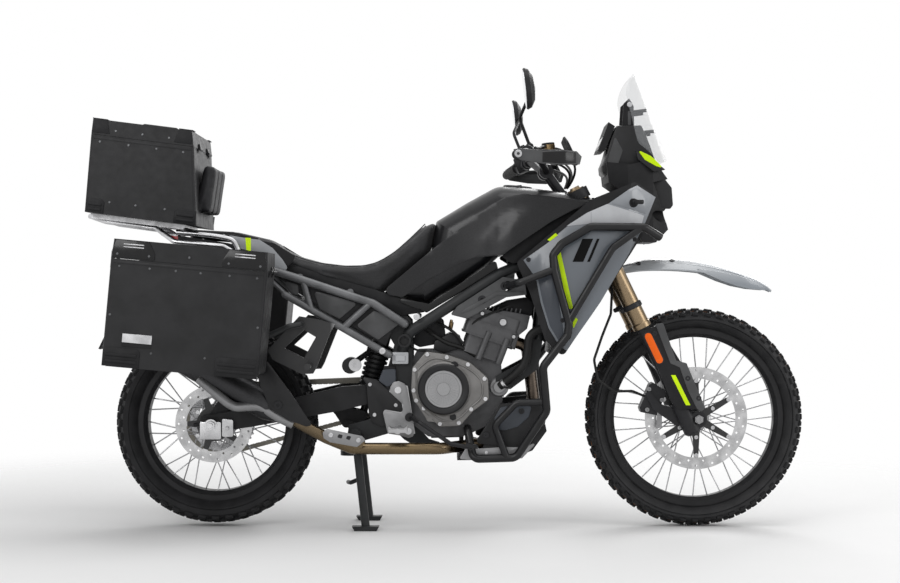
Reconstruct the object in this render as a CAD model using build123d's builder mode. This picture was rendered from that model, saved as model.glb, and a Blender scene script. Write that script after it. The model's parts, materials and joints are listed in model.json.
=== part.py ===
from build123d import *
import os
from math import sin, cos, tan, radians

os.makedirs("parts", exist_ok=True)

# Adventure motorcycle on its centre stand, in millimetres.
# +X forward, +Y to the rider's left, +Z up, the floor at Z = 0.

# Driving sizes
wheelbase = 1505
front_axle_x = 778
rear_axle_x = front_axle_x - wheelbase
front_tyre_radius = 344
rear_tyre_radius = 319
rear_lift = 9                 # rear tyre above the floor while the centre stand is down
front_tyre_width = 100
rear_tyre_width = 144
front_rim_radius = 279
rear_rim_radius = 244
front_disc_radius = 160
rear_disc_radius = 120
spoke_count = 36
spoke_diameter = 4
axle_diameter = 20
rake = 26                     # steering axis from vertical, degrees
head_x, head_z = 440, 900     # a point of the steering axis
leg_offset = 30               # fork legs ahead of the steering axis
leg_spacing = 105             # fork leg from the centre plane
fork_tube_diameter = 54
stanchion_diameter = 41
stem_diameter = 33.8
pivot_x, pivot_z = -153, 435  # swingarm pivot
arm_spacing = 128             # swingarm beam from the centre plane at the axle
stand_x, stand_z = -285, 300  # centre stand pivot
stand_half_width = 122
stand_lead = 32               # centre stand feet ahead of their pivot
case_wall = 5
pannier_length = 455
pannier_height = 370
pannier_width = 220
pannier_inner_y = 250
pannier_lid_depth = 56
top_case_width = 400
top_case_height = 286
top_lid_depth = 47
seat_gap = 0.3                # between pieces that are bolted together
pin_gap = 0.1                 # round a pin or shaft that turns
pad_gap = 1                   # brake pad from its disc
bolt_gap = 0.3                # round a bolt or an axle in its hole

front_axle_z = front_tyre_radius
rear_axle_z = rear_tyre_radius + rear_lift
front_axle = (front_axle_x, front_axle_z)
rear_axle = (rear_axle_x, rear_axle_z)
steer_up = Vector(-sin(radians(rake)), 0, cos(radians(rake)))
steer_forward = Vector(cos(radians(rake)), 0, sin(radians(rake)))


def steer_point(forward, across, up):
    """Point in the steering frame: ahead of, beside and along the steering axis."""
    return Vector(head_x, across, head_z) + steer_forward * forward + steer_up * up


def side_plane(y):
    """Sketch plane that looks from the right: local x forward, local y up, normal to -Y."""
    return Plane.XZ.offset(-y)


def closed(outline, corner=0):
    """Closed outline whose corners are rounded, by one radius or one for each point, less where the
    runs beside them are short."""
    if not corner:
        Polyline(*outline, close=True)
        return
    corners = corner if isinstance(corner, list) else [corner] * len(outline)
    radii = []
    for before, at, after, wanted in zip(outline[-1:] + outline, outline, outline[1:] + outline[:1], corners):
        back, ahead = Vector(*before) - Vector(*at), Vector(*after) - Vector(*at)
        half_turn = radians(180 - back.get_angle(ahead)) / 2
        radii.append(min(wanted, 0.45 * min(back.length, ahead.length) / tan(half_turn)))
    FilletPolyline(*outline, radius=radii, close=True)


def slab(outline, y_low, y_high, mode=Mode.ADD, corner=0):
    """Side outline (x, z) made solid between two places across the machine."""
    with BuildSketch(side_plane(y_high)) as face:
        with BuildLine():
            closed(outline, corner)
        make_face()
    extrude(face.sketch, amount=y_high - y_low, mode=mode)


def plan(outline, z_low, z_high, mode=Mode.INTERSECT, corner=0):
    """Top outline (x, y) made solid between two heights."""
    with BuildSketch(Plane.XY.offset(z_low)) as face:
        with BuildLine():
            closed(outline, corner)
        make_face()
    extrude(face.sketch, amount=z_high - z_low, mode=mode)


def both_sides(half):
    """Half outline (x, y) closed by its own mirror image."""
    return half + [(x, -y) for x, y in reversed(half)]


def span(side, near, far):
    """Lower and upper place across the machine of what lies near..far out on one side."""
    return sorted((side * near, side * far))


def rod(start, end, diameter, mode=Mode.ADD):
    """Round bar between two points."""
    start, end = Vector(*start), Vector(*end)
    with BuildSketch(Plane(origin=start, z_dir=end - start)) as face:
        Circle(diameter / 2)
    extrude(face.sketch, amount=(end - start).length, mode=mode)


def side_point(along):
    """Place on the side stand's pivot bolt, counted outward from its middle."""
    return Vector(*side_pivot) + Vector(*side_axis) * along


def tube(points, diameter, bend=45):
    """Round tube along straight runs joined by tangent arcs."""
    with BuildLine() as path:
        FilletPolyline(*points, radius=bend)
    start = path.line @ 0
    with BuildSketch(Plane(origin=start, z_dir=path.line % 0)) as face:
        Circle(diameter / 2)
    sweep(face.sketch, path=path.line)


def turned(centre, outline, mode=Mode.ADD):
    """Solid of revolution about a crosswise axis, from points (across, radius)."""
    x, z = centre
    with BuildSketch(Plane(origin=(x, 0, z), x_dir=(0, 1, 0), z_dir=(1, 0, 0))) as face:
        with BuildLine():
            Polyline(*outline, close=True)
        make_face()
    revolve(face.sketch, axis=Axis((x, 0, z), (0, 1, 0)), mode=mode)


def across(centre, diameter, y_low, y_high, mode=Mode.ADD):
    """Round bar across the machine."""
    x, z = centre
    rod((x, y_low, z), (x, y_high, z), diameter, mode)


def spindle(start, direction, outline, mode=Mode.ADD):
    """Solid of revolution about a slanted axis, from points (along, radius)."""
    start, direction = Vector(*start), Vector(*direction).normalized()
    with BuildSketch(Plane(origin=start, x_dir=direction, z_dir=direction.cross(Vector(0, 1, 0)))) as face:
        with BuildLine():
            Polyline(*outline, close=True)
        make_face()
    revolve(face.sketch, axis=Axis(start, direction), mode=mode)


def strap(centres, y_low, y_high, mode=Mode.ADD):
    """Flat link round two circles, each (x, z, radius)."""
    with BuildSketch(side_plane(y_high)) as face:
        with BuildLine() as rims:
            for x, z, radius in centres:
                CenterArc((x, z), radius, 0, 360)
        make_hull(rims.line.edges())
    extrude(face.sketch, amount=y_high - y_low, mode=mode)


# ---------------------------------------------------------------- wheels
# axle, tyre radius, tyre width, rim radius, rim half width, flange radius, flange half spacing
front_sizes = (front_axle, front_tyre_radius, front_tyre_width, front_rim_radius, 29, 34, 30)
rear_sizes = (rear_axle, rear_tyre_radius, rear_tyre_width, rear_rim_radius, 44, 52, 36)


def tyre(sizes):
    centre, radius, width, rim, rim_half, flange, spacing = sizes
    x, z = centre
    half = width / 2
    bead = rim_half - 5
    with BuildSketch(Plane(origin=(x, 0, z), x_dir=(0, 1, 0), z_dir=(1, 0, 0))) as face:
        with BuildLine():
            Polyline((-bead, rim + 2), (-bead, rim - 12), (bead, rim - 12), (bead, rim + 2))
            ThreePointArc((bead, rim + 2), (half - 2, rim + 26), (half, radius - 22))
            ThreePointArc((half, radius - 22), (0, radius), (-half, radius - 22))
            ThreePointArc((-half, radius - 22), (-half + 2, rim + 26), (-bead, rim + 2))
        make_face()
    revolve(face.sketch, axis=Axis((x, 0, z), (0, 1, 0)))


def rim_ring(sizes):
    centre, _, _, rim, half, _, _ = sizes
    bed = rim - 13
    turned(centre, [(-half, rim), (-half + 4, rim), (-half + 4.6, bed), (half - 4.6, bed),
                    (half - 4, rim), (half, rim), (half, rim - 15), (half * 0.55, rim - 27),
                    (-half * 0.55, rim - 27), (-half, rim - 15)])


def spokes(sizes):
    """Crossed spokes from the hub flanges to the rim bed."""
    centre, _, _, rim, _, flange, spacing = sizes
    x, z = centre
    reach = rim - 27 - 1.2
    for i in range(spoke_count):
        side = 1 if i % 2 else -1
        lean = 48 if (i // 2) % 2 else -48
        outer = radians(i * 360 / spoke_count)
        inner = outer + radians(lean)
        start_y = side * (spacing + (2 if lean > 0 else -2))
        start = (x + flange * cos(inner), start_y, z + flange * sin(inner))
        end = (x + reach * cos(outer), side * 5, z + reach * sin(outer))
        rod(start, end, spoke_diameter)


def hub(sizes, barrel, right_end, left_end):
    """Hub barrel with two spoke flanges, bored for the axle; each end (across, radius) seats a disc
    or a sprocket carrier."""
    centre, _, _, _, _, flange, spacing = sizes
    rim = flange + 7
    turned(centre, [(-right_end[0], right_end[1]), (-right_end[0] + 5, right_end[1]),
                    (-right_end[0] + 9, barrel + 2), (-spacing - 8, barrel),
                    (-spacing - 4, rim), (-spacing + 4, rim), (-spacing + 9, barrel),
                    (spacing - 9, barrel), (spacing - 4, rim), (spacing + 4, rim),
                    (spacing + 8, max(barrel, left_end[1] - 4)), (left_end[0] - 4, left_end[1]),
                    (left_end[0], left_end[1] - 3),
                    (left_end[0], axle_diameter / 2 + pin_gap),
                    (-right_end[0], axle_diameter / 2 + pin_gap)])


def disc(centre, y, radius, band, thickness, boss, arms):
    """Brake disc on its right side face y: a drilled band on the arms of its carrier."""
    x, z = centre
    inner = radius - band
    turned(centre, [(y, inner), (y, radius), (y - thickness, radius), (y - thickness, inner)])
    for i in range(arms):
        turn = radians((i + 0.5) * 360 / arms)
        strap([(x + (boss - 10) * cos(turn), z + (boss - 10) * sin(turn), 12),
               (x + (inner + 5) * cos(turn), z + (inner + 5) * sin(turn), 7)], y - thickness + 0.5, y - 0.5)
    for ring, (share, count) in enumerate(((0.3, 3), (0.7, 3))):
        for i in range(arms * count):
            turn = radians((i + ring * 0.5) * 360 / (arms * count))
            reach = inner + band * share
            across((x + reach * cos(turn), z + reach * sin(turn)), 7, y - thickness - 1, y + 1, Mode.SUBTRACT)


with BuildPart() as front_tyre:
    tyre(front_sizes)
front_tyre.part.label = "front_tyre"
export_step(front_tyre.part, "parts/front_tyre.step")

with BuildPart() as front_rim:
    rim_ring(front_sizes)
front_rim.part.label = "front_rim"
export_step(front_rim.part, "parts/front_rim.step")

front_hub_half = 62
front_disc_boss = 40           # disc carrier at the front hub
with BuildPart() as front_hub:
    hub(front_sizes, 22, (front_hub_half, front_disc_boss), (front_hub_half, 20))
    spokes(front_sizes)
front_hub.part.label = "front_hub"
export_step(front_hub.part, "parts/front_hub.step")

front_disc_y = -front_hub_half - seat_gap
disc_thickness = 5
with BuildPart() as front_disc:
    turned(front_axle, [(front_disc_y, 24), (front_disc_y, front_disc_boss), (front_disc_y - 4, front_disc_boss),
                        (front_disc_y - 4, 24)])
    disc(front_axle, front_disc_y, front_disc_radius, 36, disc_thickness, front_disc_boss, 6)
front_disc.part.label = "front_disc"
export_step(front_disc.part, "parts/front_disc.step")

with BuildPart() as rear_tyre:
    tyre(rear_sizes)
rear_tyre.part.label = "rear_tyre"
export_step(rear_tyre.part, "parts/rear_tyre.step")

with BuildPart() as rear_rim:
    rim_ring(rear_sizes)
rear_rim.part.label = "rear_rim"
export_step(rear_rim.part, "parts/rear_rim.step")

rear_hub_half = 76
rear_disc_boss = 46
sprocket_boss = 58             # sprocket carrier at the rear hub
with BuildPart() as rear_hub:
    hub(rear_sizes, 32, (rear_hub_half, rear_disc_boss), (rear_hub_half, sprocket_boss))
    spokes(rear_sizes)
rear_hub.part.label = "rear_hub"
export_step(rear_hub.part, "parts/rear_hub.step")

rear_disc_y = -92
with BuildPart() as rear_disc:
    turned(rear_axle, [(-rear_hub_half - seat_gap, 22), (-rear_hub_half - seat_gap, rear_disc_boss),
                       (rear_disc_y + 4, rear_disc_boss), (rear_disc_y, rear_disc_boss + 8),
                       (rear_disc_y - 4, rear_disc_boss + 8), (rear_disc_y - 4, 22)])
    disc(rear_axle, rear_disc_y, rear_disc_radius, 34, disc_thickness, rear_disc_boss + 8, 5)
rear_disc.part.label = "rear_disc"
export_step(rear_disc.part, "parts/rear_disc.step")

sprocket_radius = 108         # at the roots of its teeth
sprocket_teeth = 44
sprocket_y = 92
sprocket_half = 3.5           # half its thickness
tooth_height = 5
groove_half = 5               # the teeth run in a groove of the chain


def toothed(centre, radius, count, hole):
    """Ring with pointed teeth, seen from the side."""
    x, z = centre
    rim = []
    for i in range(count):
        for share, reach in ((-0.3, 0), (-0.1, tooth_height), (0.1, tooth_height), (0.3, 0)):
            turn = radians((i + share) * 360 / count)
            rim.append((x + (radius + reach) * cos(turn), z + (radius + reach) * sin(turn)))
    with BuildSketch(side_plane(sprocket_y + sprocket_half)) as ring:
        with BuildLine():
            Polyline(*rim, close=True)
        make_face()
        with Locations(centre):
            Circle(hole, mode=Mode.SUBTRACT)
    extrude(ring.sketch, amount=2 * sprocket_half)


with BuildPart() as rear_sprocket:
    toothed(rear_axle, sprocket_radius, sprocket_teeth, 76)
    turned(rear_axle, [(rear_hub_half + seat_gap, 22), (rear_hub_half + seat_gap, sprocket_boss - 4),
                       (sprocket_y - 3.5, sprocket_boss), (sprocket_y + 3.5, sprocket_boss),
                       (sprocket_y + 3.5, 22)])
    for i in range(5):
        turn = radians(i * 72)
        strap([(rear_axle_x + 48 * cos(turn), rear_axle_z + 48 * sin(turn), 14),
               (rear_axle_x + 80 * cos(turn), rear_axle_z + 80 * sin(turn), 9)],
              sprocket_y - 3, sprocket_y + 3)
rear_sprocket.part.label = "rear_sprocket"
export_step(rear_sprocket.part, "parts/rear_sprocket.step")

# ---------------------------------------------------------------- steering body
clamp_low, clamp_high = -96, 124     # undersides of the two fork clamps, along the steering axis
clamp_thick = 32
clamp_reach = fork_tube_diameter / 2 + 9
tube_top, tube_foot = 159, -318      # outer fork tubes, along the steering axis
leg_foot = -684
foot_diameter = 56
caliper_outside = 30                 # outer face of a caliper from its disc
caliper_face = front_disc_y - caliper_outside - seat_gap

with BuildPart() as triple_clamps:
    for base in (clamp_low, clamp_high):
        with BuildSketch(Plane(origin=steer_point(0, 0, base), x_dir=steer_forward, z_dir=steer_up)) as face:
            for side in (-1, 1):
                with BuildLine() as arm:
                    CenterArc((0, 0), stem_diameter / 2 + 15, 0, 360)
                    CenterArc((leg_offset, side * leg_spacing), clamp_reach, 0, 360)
                make_hull(arm.line.edges())
            with Locations((leg_offset, leg_spacing), (leg_offset, -leg_spacing)):
                Circle(fork_tube_diameter / 2 + seat_gap, mode=Mode.SUBTRACT)
        extrude(amount=clamp_thick)
    rod(steer_point(0, 0, clamp_low), steer_point(0, 0, clamp_high + clamp_thick), stem_diameter)
    rod(steer_point(0, 0, clamp_high + clamp_thick), steer_point(0, 0, clamp_high + clamp_thick + 8), 30)
triple_clamps.part.label = "triple_clamps"
export_step(triple_clamps.part, "parts/triple_clamps.step")

with BuildPart() as fork_tubes:
    for side in (-1, 1):
        spindle(steer_point(leg_offset, side * leg_spacing, tube_foot), steer_up,
                [(0, 0), (0, 29.5), (14, 29.5), (18, fork_tube_diameter / 2),
                 (tube_top - tube_foot, fork_tube_diameter / 2), (tube_top - tube_foot, 17),
                 (tube_top - tube_foot + 8, 15), (tube_top - tube_foot + 8, 0)])
fork_tubes.part.label = "fork_tubes"
export_step(fork_tubes.part, "parts/fork_tubes.step")

with BuildPart() as fork_legs:
    for side in (-1, 1):
        y = side * leg_spacing
        rod(steer_point(leg_offset, y, leg_foot + 40), steer_point(leg_offset, y, tube_foot - seat_gap),
            stanchion_diameter)
        spindle(steer_point(leg_offset, y, leg_foot), steer_up,
                [(0, 0), (0, 20), (8, foot_diameter / 2), (96, foot_diameter / 2), (112, 25), (112, 0)])
        across(front_axle, 50, *span(side, leg_spacing - 34, leg_spacing + 20))
    across(front_axle, axle_diameter, -leg_spacing - 26, leg_spacing + 26)
    ears = [(10, -640), (-8, -640), (-52, -560), (-52, -505), (-36, -505), (-24, -556), (10, -588)]
    points = [steer_point(u, 0, w) for u, w in ears]
    slab([(p.X, p.Z) for p in points], min(caliper_face - 8, foot_diameter / 2 - leg_spacing - 8), caliper_face)
fork_legs.part.label = "fork_legs"
export_step(fork_legs.part, "parts/fork_legs.step")

guard_in = leg_spacing + foot_diameter / 2 + seat_gap
guard_out = guard_in + 7
guard_profile = [(24, -324), (74, -330), (96, -560), (92, -626), (16, -590), (6, -560)]
guard_nose = [(62, -329), (74, -330), (96, -560), (92, -626), (84, -622), (86, -560)]
with BuildPart() as fork_guards:
    for side in (-1, 1):
        points = [steer_point(u, 0, w) for u, w in guard_profile]
        slab([(p.X, p.Z) for p in points], *span(side, guard_in, guard_out))
        points = [steer_point(u, 0, w) for u, w in guard_nose]
        slab([(p.X, p.Z) for p in points], *span(side, leg_spacing - 14, guard_out))
fork_guards.part.label = "fork_guards"
export_step(fork_guards.part, "parts/fork_guards.step")

# arched sheet sections: x, z, slope in degrees, half width, drop of the edges
fender_stations = [(497, 797, 26, 46, 12), (580, 830, 16, 62, 26), (700, 846, 0, 74, 36),
                   (860, 824, -15, 70, 30), (960, 789, -24, 52, 20), (1026, 745, -36, 16, 5)]
sheet = 4
with BuildPart() as front_fender:
    sections = []
    for x, z, slope, half_width, drop in fender_stations:
        a = radians(slope)
        with BuildSketch(Plane(origin=(x, 0, z), x_dir=(0, 1, 0), z_dir=(cos(a), 0, sin(a)))) as face:
            with BuildLine():
                ThreePointArc((-half_width, -drop), (0, 0), (half_width, -drop))
                Line((half_width, -drop), (half_width - 1, -drop - sheet))
                ThreePointArc((half_width - 1, -drop - sheet), (0, -sheet), (1 - half_width, -drop - sheet))
                Line((1 - half_width, -drop - sheet), (-half_width, -drop))
            make_face()
        sections.append(face.sketch.face())
    loft(sections)
    for u, y in ((8, 22), (40, 48)):
        for side in (-1, 1):
            rod(steer_point(u, side * y, clamp_low - seat_gap), steer_point(u, side * y, clamp_low - 32), 16)
front_fender.part.label = "front_fender"
export_step(front_fender.part, "parts/front_fender.step")

bar_diameter = 22.2
bar_clamp_u, bar_clamp_w = -22, 250
bar_end_y = 425
lever_share, guard_share = 0.17, 0.06     # places of the clamps along the straight of the bar
# forward, across, up in the steering frame, from the clamp out to the end
bar_route = [(-22, 60, 252), (-36, 190, 312), (-103, bar_end_y, 318)]


def bar_place(side, share):
    """Point of the bar's outer straight, from its bend (0) to its end (1)."""
    (u1, y1, w1), (u2, y2, w2) = bar_route[1:]
    return steer_point(u1 + (u2 - u1) * share, side * (y1 + (y2 - y1) * share), w1 + (w2 - w1) * share)


def bar_ring(side, share, length, diameter):
    """Split clamp round the bar."""
    middle = bar_place(side, share)
    along = (bar_place(side, 1) - bar_place(side, 0)).normalized() * (length / 2)
    rod(middle - along, middle + along, diameter)
    rod(middle - along * 1.2, middle + along * 1.2, bar_diameter + 2 * seat_gap, Mode.SUBTRACT)


with BuildPart() as handlebar:
    right = [steer_point(u, -y, w) for u, y, w in reversed(bar_route)]
    left = [steer_point(u, y, w) for u, y, w in bar_route]
    tube(right + left, bar_diameter, 35)
    for side in (-1, 1):
        y = side * 45
        foot = clamp_high + clamp_thick + seat_gap
        rod(steer_point(-6, y, foot), steer_point(-6, y, foot + 14), 30)
        rod(steer_point(-6, y, foot + 8), steer_point(-20, y, 244), 25)
        rod(steer_point(bar_clamp_u, y - 14, bar_clamp_w + 2), steer_point(bar_clamp_u, y + 14, bar_clamp_w + 2), 44)
        # grip with its end flange, then the switch housing
        rod(bar_place(side, 0.985), bar_place(side, 0.5), 33)
        rod(bar_place(side, 0.5), bar_place(side, 0.48), 48)
        rod(bar_place(side, 0.47), bar_place(side, 0.26), 44)
handlebar.part.label = "handlebar"
export_step(handlebar.part, "parts/handlebar.step")

lever_w = 312
with BuildPart() as hand_levers:
    for side in (-1, 1):
        middle = bar_place(side, lever_share)
        rod(middle, steer_point(-6, side * 238, lever_w), 18)
        tube([steer_point(-10, side * 226, lever_w), steer_point(-2, side * 270, lever_w),
              steer_point(-34, side * 340, lever_w), steer_point(-50, side * 414, lever_w + 2)], 9, 24)
        rod(steer_point(-10, side * 212, lever_w + 2), steer_point(-6, side * 238, lever_w + 2), 20)
        bar_ring(side, lever_share, 20, 38)
hand_levers.part.label = "hand_levers"
export_step(hand_levers.part, "parts/hand_levers.step")

guard_plate_u = 40
with BuildPart() as handguards:
    for side in (-1, 1):
        end = bar_place(side, 1)
        outward = (end - bar_place(side, 0)).normalized()
        rod(end + outward * seat_gap, end + outward * 22, 30)
        tube([end + outward * 12, steer_point(-66, side * 448, 306), steer_point(30, side * 404, 262),
              steer_point(34, side * 262, 262)], 15, 24)
        with BuildSketch(Plane(origin=steer_point(guard_plate_u, side * 325, 268), x_dir=(0, side, 0),
                               z_dir=steer_forward)) as plate:
            with BuildLine():
                closed([(-85, -34), (60, -40), (96, -20), (92, 22), (40, 52), (-80, 40)], 16)
            make_face()
        extrude(plate.sketch, amount=5)
        rod(steer_point(34, side * 262, 262), bar_place(side, guard_share), 15)
        bar_ring(side, guard_share, 15, 34)
        rod(bar_place(side, 0), bar_place(side, 2 * guard_share), bar_diameter + 2 * seat_gap, Mode.SUBTRACT)
handguards.part.label = "handguards"
export_step(handguards.part, "parts/handguards.step")

mirror_radius = 61
with BuildPart() as mirrors:
    for side in (-1, 1):
        foot = bar_place(side, lever_share) + steer_up * (19 + seat_gap + 0.8)
        rod(foot, foot + steer_up * 12, 16)
        head = steer_point(6, side * 420, 479)
        facing = (steer_forward + steer_up * -0.35).normalized()
        tube([foot + steer_up * 4, steer_point(-40, side * 246, 424), head + facing * 14 + Vector(0, -side * 26, 0)],
             10, 25)
        with BuildSketch(Plane(origin=head, x_dir=(0, 1, 0), z_dir=Vector(0, 1, 0).cross(facing))) as half:
            with BuildLine():
                Polyline((0, -9), (mirror_radius - 2, -9), (mirror_radius, -5), (mirror_radius - 5, 6),
                         (mirror_radius - 24, 17), (0, 22), close=True)
            make_face()
        revolve(half.sketch, axis=Axis(head, facing))
mirrors.part.label = "mirrors"
export_step(mirrors.part, "parts/mirrors.step")


def caliper(centre, turn, disc_radius, disc_side_y, depth, half_length):
    """Caliper straddling a brake disc, its middle at an angle up from straight ahead."""
    c, s = cos(radians(turn)), sin(radians(turn))

    def block(near, far):
        corners = ((near, -half_length * 0.8), (far - 8, -half_length), (far, -half_length * 0.8),
                   (far, half_length * 0.8), (far - 8, half_length), (near, half_length * 0.8))
        return [(centre[0] + r * c - t * s, centre[1] + r * s + t * c) for r, t in corners]

    inner, outer = disc_radius - depth, disc_radius + caliper_back
    far_side = disc_side_y - disc_thickness - pad_gap
    slab(block(inner, outer), disc_side_y + pad_gap, disc_side_y + 22)
    slab(block(inner, outer), disc_side_y - caliper_outside, far_side)
    slab(block(disc_radius + 3, outer), disc_side_y - caliper_outside, disc_side_y + 22)
    middle = (inner + disc_radius) / 2
    for t in (-0.42 * half_length, 0.42 * half_length):
        across((centre[0] + middle * c - t * s, centre[1] + middle * s + t * c), depth * 0.7,
               disc_side_y + 20, disc_side_y + 26)


caliper_back = 18             # caliper bridge beyond the disc's edge
front_caliper_turn, rear_caliper_turn = 157, 62
with BuildPart() as front_caliper:
    caliper(front_axle, front_caliper_turn, front_disc_radius, front_disc_y, 40, 50)
front_caliper.part.label = "front_caliper"
export_step(front_caliper.part, "parts/front_caliper.step")

# ---------------------------------------------------------------- frame
head_tube_low, head_tube_high = -60, 120
spar_y, spar_diameter = 135, 34
plate_y, plate_thick = 100, 9         # inner face and thickness of the pivot plates
engine_half_width = 92
rail_y, rail_diameter = 150, 25       # upper rear rails
side_pivot = (-40, stand_half_width + 19, 236)          # side stand pivot
side_axis = (-0.18, 0.9837, 0)        # its bolt, pointing out to the left
side_boss = (14, 38)                  # the stand's joint face and the frame lug's root, inboard of the pivot
shock_top, shock_foot = (-195, 644), (-268, 350)
link_arm, link_low, link_frame = (-346, 366), (-318, 326), (-252, 300)
stay_y = 12                           # fairing stay tubes from the centre plane
mask_back = [(575, 960), (540, 1052)] # rear edge of the front fairing
# places where the rear frame bolts to the main frame, and its tube there
rear_joints = [((-132, 640), 25), ((-180, 545), 22)]
crash_mount = (186, 757)              # upper crash bar bolt on each side
tank_pads_front, tank_pads_rear = (200, 60), (-178, 40)     # x, y of the tank's rubber mounts
radiator_back = [(316, 548), (346, 762)]
radiator_mounts = (610, 716)   # heights of the radiator bosses on the frame


def line_z(ends, x):
    """Height of the straight line through two points (x, z) at x."""
    (x1, z1), (x2, z2) = ends
    return z1 + (z2 - z1) * (x - x1) / (x2 - x1)


def line_x(ends, z):
    """Place of the straight line through two points (x, z) at z."""
    (x1, z1), (x2, z2) = ends
    return x1 + (x2 - x1) * (z - z1) / (z2 - z1)


tank_bottom_front, tank_bottom_rear = [(166, 856), (208, 846)], [(-210, 728), (-66, 690)]
with BuildPart() as main_frame:
    rod(steer_point(0, 0, head_tube_low), steer_point(0, 0, head_tube_high), 58)
    for side in (-1, 1):
        tube([(428, side * 16, 905), (300, side * 112, 850), (168, side * spar_y, 798),
              (-119, side * spar_y, 613), (-140, side * 108, 556)], spar_diameter, 40)
        tube([(440, side * 14, 876), (318, side * 84, 800), (296, side * 97, 720), (284, side * 97, 590)],
             28, 40)
        # pivot plate, from the shock mount down to the centre stand
        slab([(-108, 590), (-112, 650), (-150, 690), (-190, 694), (-212, 668), (-204, 640), (-165, 575),
              (-192, 480), (-192, 390), (-236, 345), (-306, 326), (-312, 284), (-262, 276), (-180, 300),
              (-120, 330), (-108, 480)], *span(side, plate_y, plate_y + plate_thick))
        # engine hanger from the down tube
        slab([(270, 600), (298, 600), (282, 500), (196, 436), (150, 444), (150, 476), (240, 524)],
             *span(side, engine_half_width + seat_gap, engine_half_width + 9))
        for place, diameter in rear_joints:
            across(place, diameter, *span(side, plate_y, rail_y - diameter / 2 - seat_gap))
        slab([(158, 792), (210, 816), (204, 750), (170, 744)], *span(side, spar_y - 6, spar_y + 5))
        for z in radiator_mounts:
            face = Vector(line_x(radiator_back, z), side * 97, z)
            normal = Vector(-(radiator_back[1][1] - radiator_back[0][1]), 0,
                            radiator_back[1][0] - radiator_back[0][0]).normalized()
            rod(face + normal * seat_gap, face + normal * 34, 16)
        stay = Vector(line_x(mask_back, 986), side * stay_y, 986)
        rod(stay - steer_forward * (2 * seat_gap + 1), stay - steer_forward * 142, 16)
        for (x, y), ends, drop in ((tank_pads_front, tank_bottom_front, 33), (tank_pads_rear, tank_bottom_rear, 50)):
            top = min(line_z(ends, x - 10), line_z(ends, x + 10)) - seat_gap
            rod((x, side * y, top - drop), (x, side * y, top), 20)
    # cross tubes: shock mount, upper engine mount, lower pivot
    across((-150, 560), 26, -plate_y - 4, plate_y + 4)
    across((-178, 668), 26, -plate_y - 4, plate_y + 4)
    across((200, 815), 26, -plate_y - 30, plate_y + 30)
    across(link_frame, 22, -plate_y - 4, plate_y + 4)
    for side in (-1, 1):
        strap([(-178, 668, 16), (*shock_top, 15)], *span(side, 20.5, 28))
    across(shock_top, 12, -28, 28)
    rod(steer_point(0, 0, head_tube_low - 1), steer_point(0, 0, head_tube_high + 1),
        stem_diameter + 2 * pin_gap, mode=Mode.SUBTRACT)
    # side stand bracket on the left plate
    slab([(-120, 332), (-60, 264), (-26, 254), (-22, 224), (-60, 216), (-140, 262), (-180, 302)],
         plate_y, plate_y + plate_thick)
    rod(side_point(-side_boss[1]), side_point(-side_boss[0] - seat_gap), 34)
main_frame.part.label = "main_frame"
export_step(main_frame.part, "parts/main_frame.step")

cover_drop = 12.6             # top edge of the cast cover under the spar's axis
with BuildPart() as frame_covers:
    cover_in = spar_y + (spar_diameter ** 2 / 4 - cover_drop ** 2) ** 0.5 + seat_gap
    for side in (-1, 1):
        low, high = span(side, cover_in, cover_in + 6)
        slab([(12, 668), (60, 656), (181, 722), (244, 730), (238, 774), (171, 785), (30, 694)], low, high)
        across(crash_mount, 30, low - 1, high + 1, Mode.SUBTRACT)
        across((110, 715), 22, low - 1, high + 1, Mode.SUBTRACT)
frame_covers.part.label = "frame_covers"
export_step(frame_covers.part, "parts/frame_covers.step")

# side view of the rear frame tubes: ends and diameter
rail_rear = (-600, 826)
upper_rail, lower_rail = [rail_rear, (-228, 703)], [(-500, 730), rear_joints[1][0]]
rear_tubes = [(*upper_rail, rail_diameter), ((-228, 703), rear_joints[0][0], rail_diameter), (*lower_rail, 22),
              ((-446, 776), (-420, 684), 20), ((-236, 706), (-322, 628), 20), (rail_rear, (-492, 726), 14)]
# crosswise tubes under the seat, their tops against its underside
seat_tube = 20
seat_tubes = []
for x, ends in ((-456, [(-486, 806), (-381, 770)]), (-300, [(-381, 770), (-219, 728)])):
    run = Vector(ends[1][0] - ends[0][0], 0, ends[1][1] - ends[0][1]).normalized()
    seat_tubes.append((x, line_z(ends, x) - (seat_tube / 2 + seat_gap) / run.X))
with BuildPart() as subframe:
    for side in (-1, 1):
        for (x1, z1), (x2, z2), diameter in rear_tubes:
            rod((x1, side * rail_y, z1), (x2, side * rail_y, z2), diameter)
            with Locations((x2, side * rail_y, z2), (x1, side * rail_y, z1)):
                Sphere(diameter / 2)
    for x, z in ((-592, 822), (-470, 714)):
        across((x, z), 22, -rail_y, rail_y)
    for place in seat_tubes:
        across(place, seat_tube, -rail_y, rail_y)
subframe.part.label = "subframe"
export_step(subframe.part, "parts/subframe.step")

side_cover_out = rail_y - rail_diameter / 2 - seat_gap
with BuildPart() as side_covers:
    for side in (-1, 1):
        top_edge = [(x, line_z(upper_rail, x) + 2) for x in (-560, -250)]
        slab(top_edge + [(-160, 650), (-190, 572), (-330, 654), (-468, 740)],
             *span(side, side_cover_out - 5, side_cover_out))
        for place in seat_tubes:
            across(place, seat_tube + 3, *span(side, side_cover_out - 6, side_cover_out + 1), Mode.SUBTRACT)
side_covers.part.label = "side_covers"
export_step(side_covers.part, "parts/side_covers.step")

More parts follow.
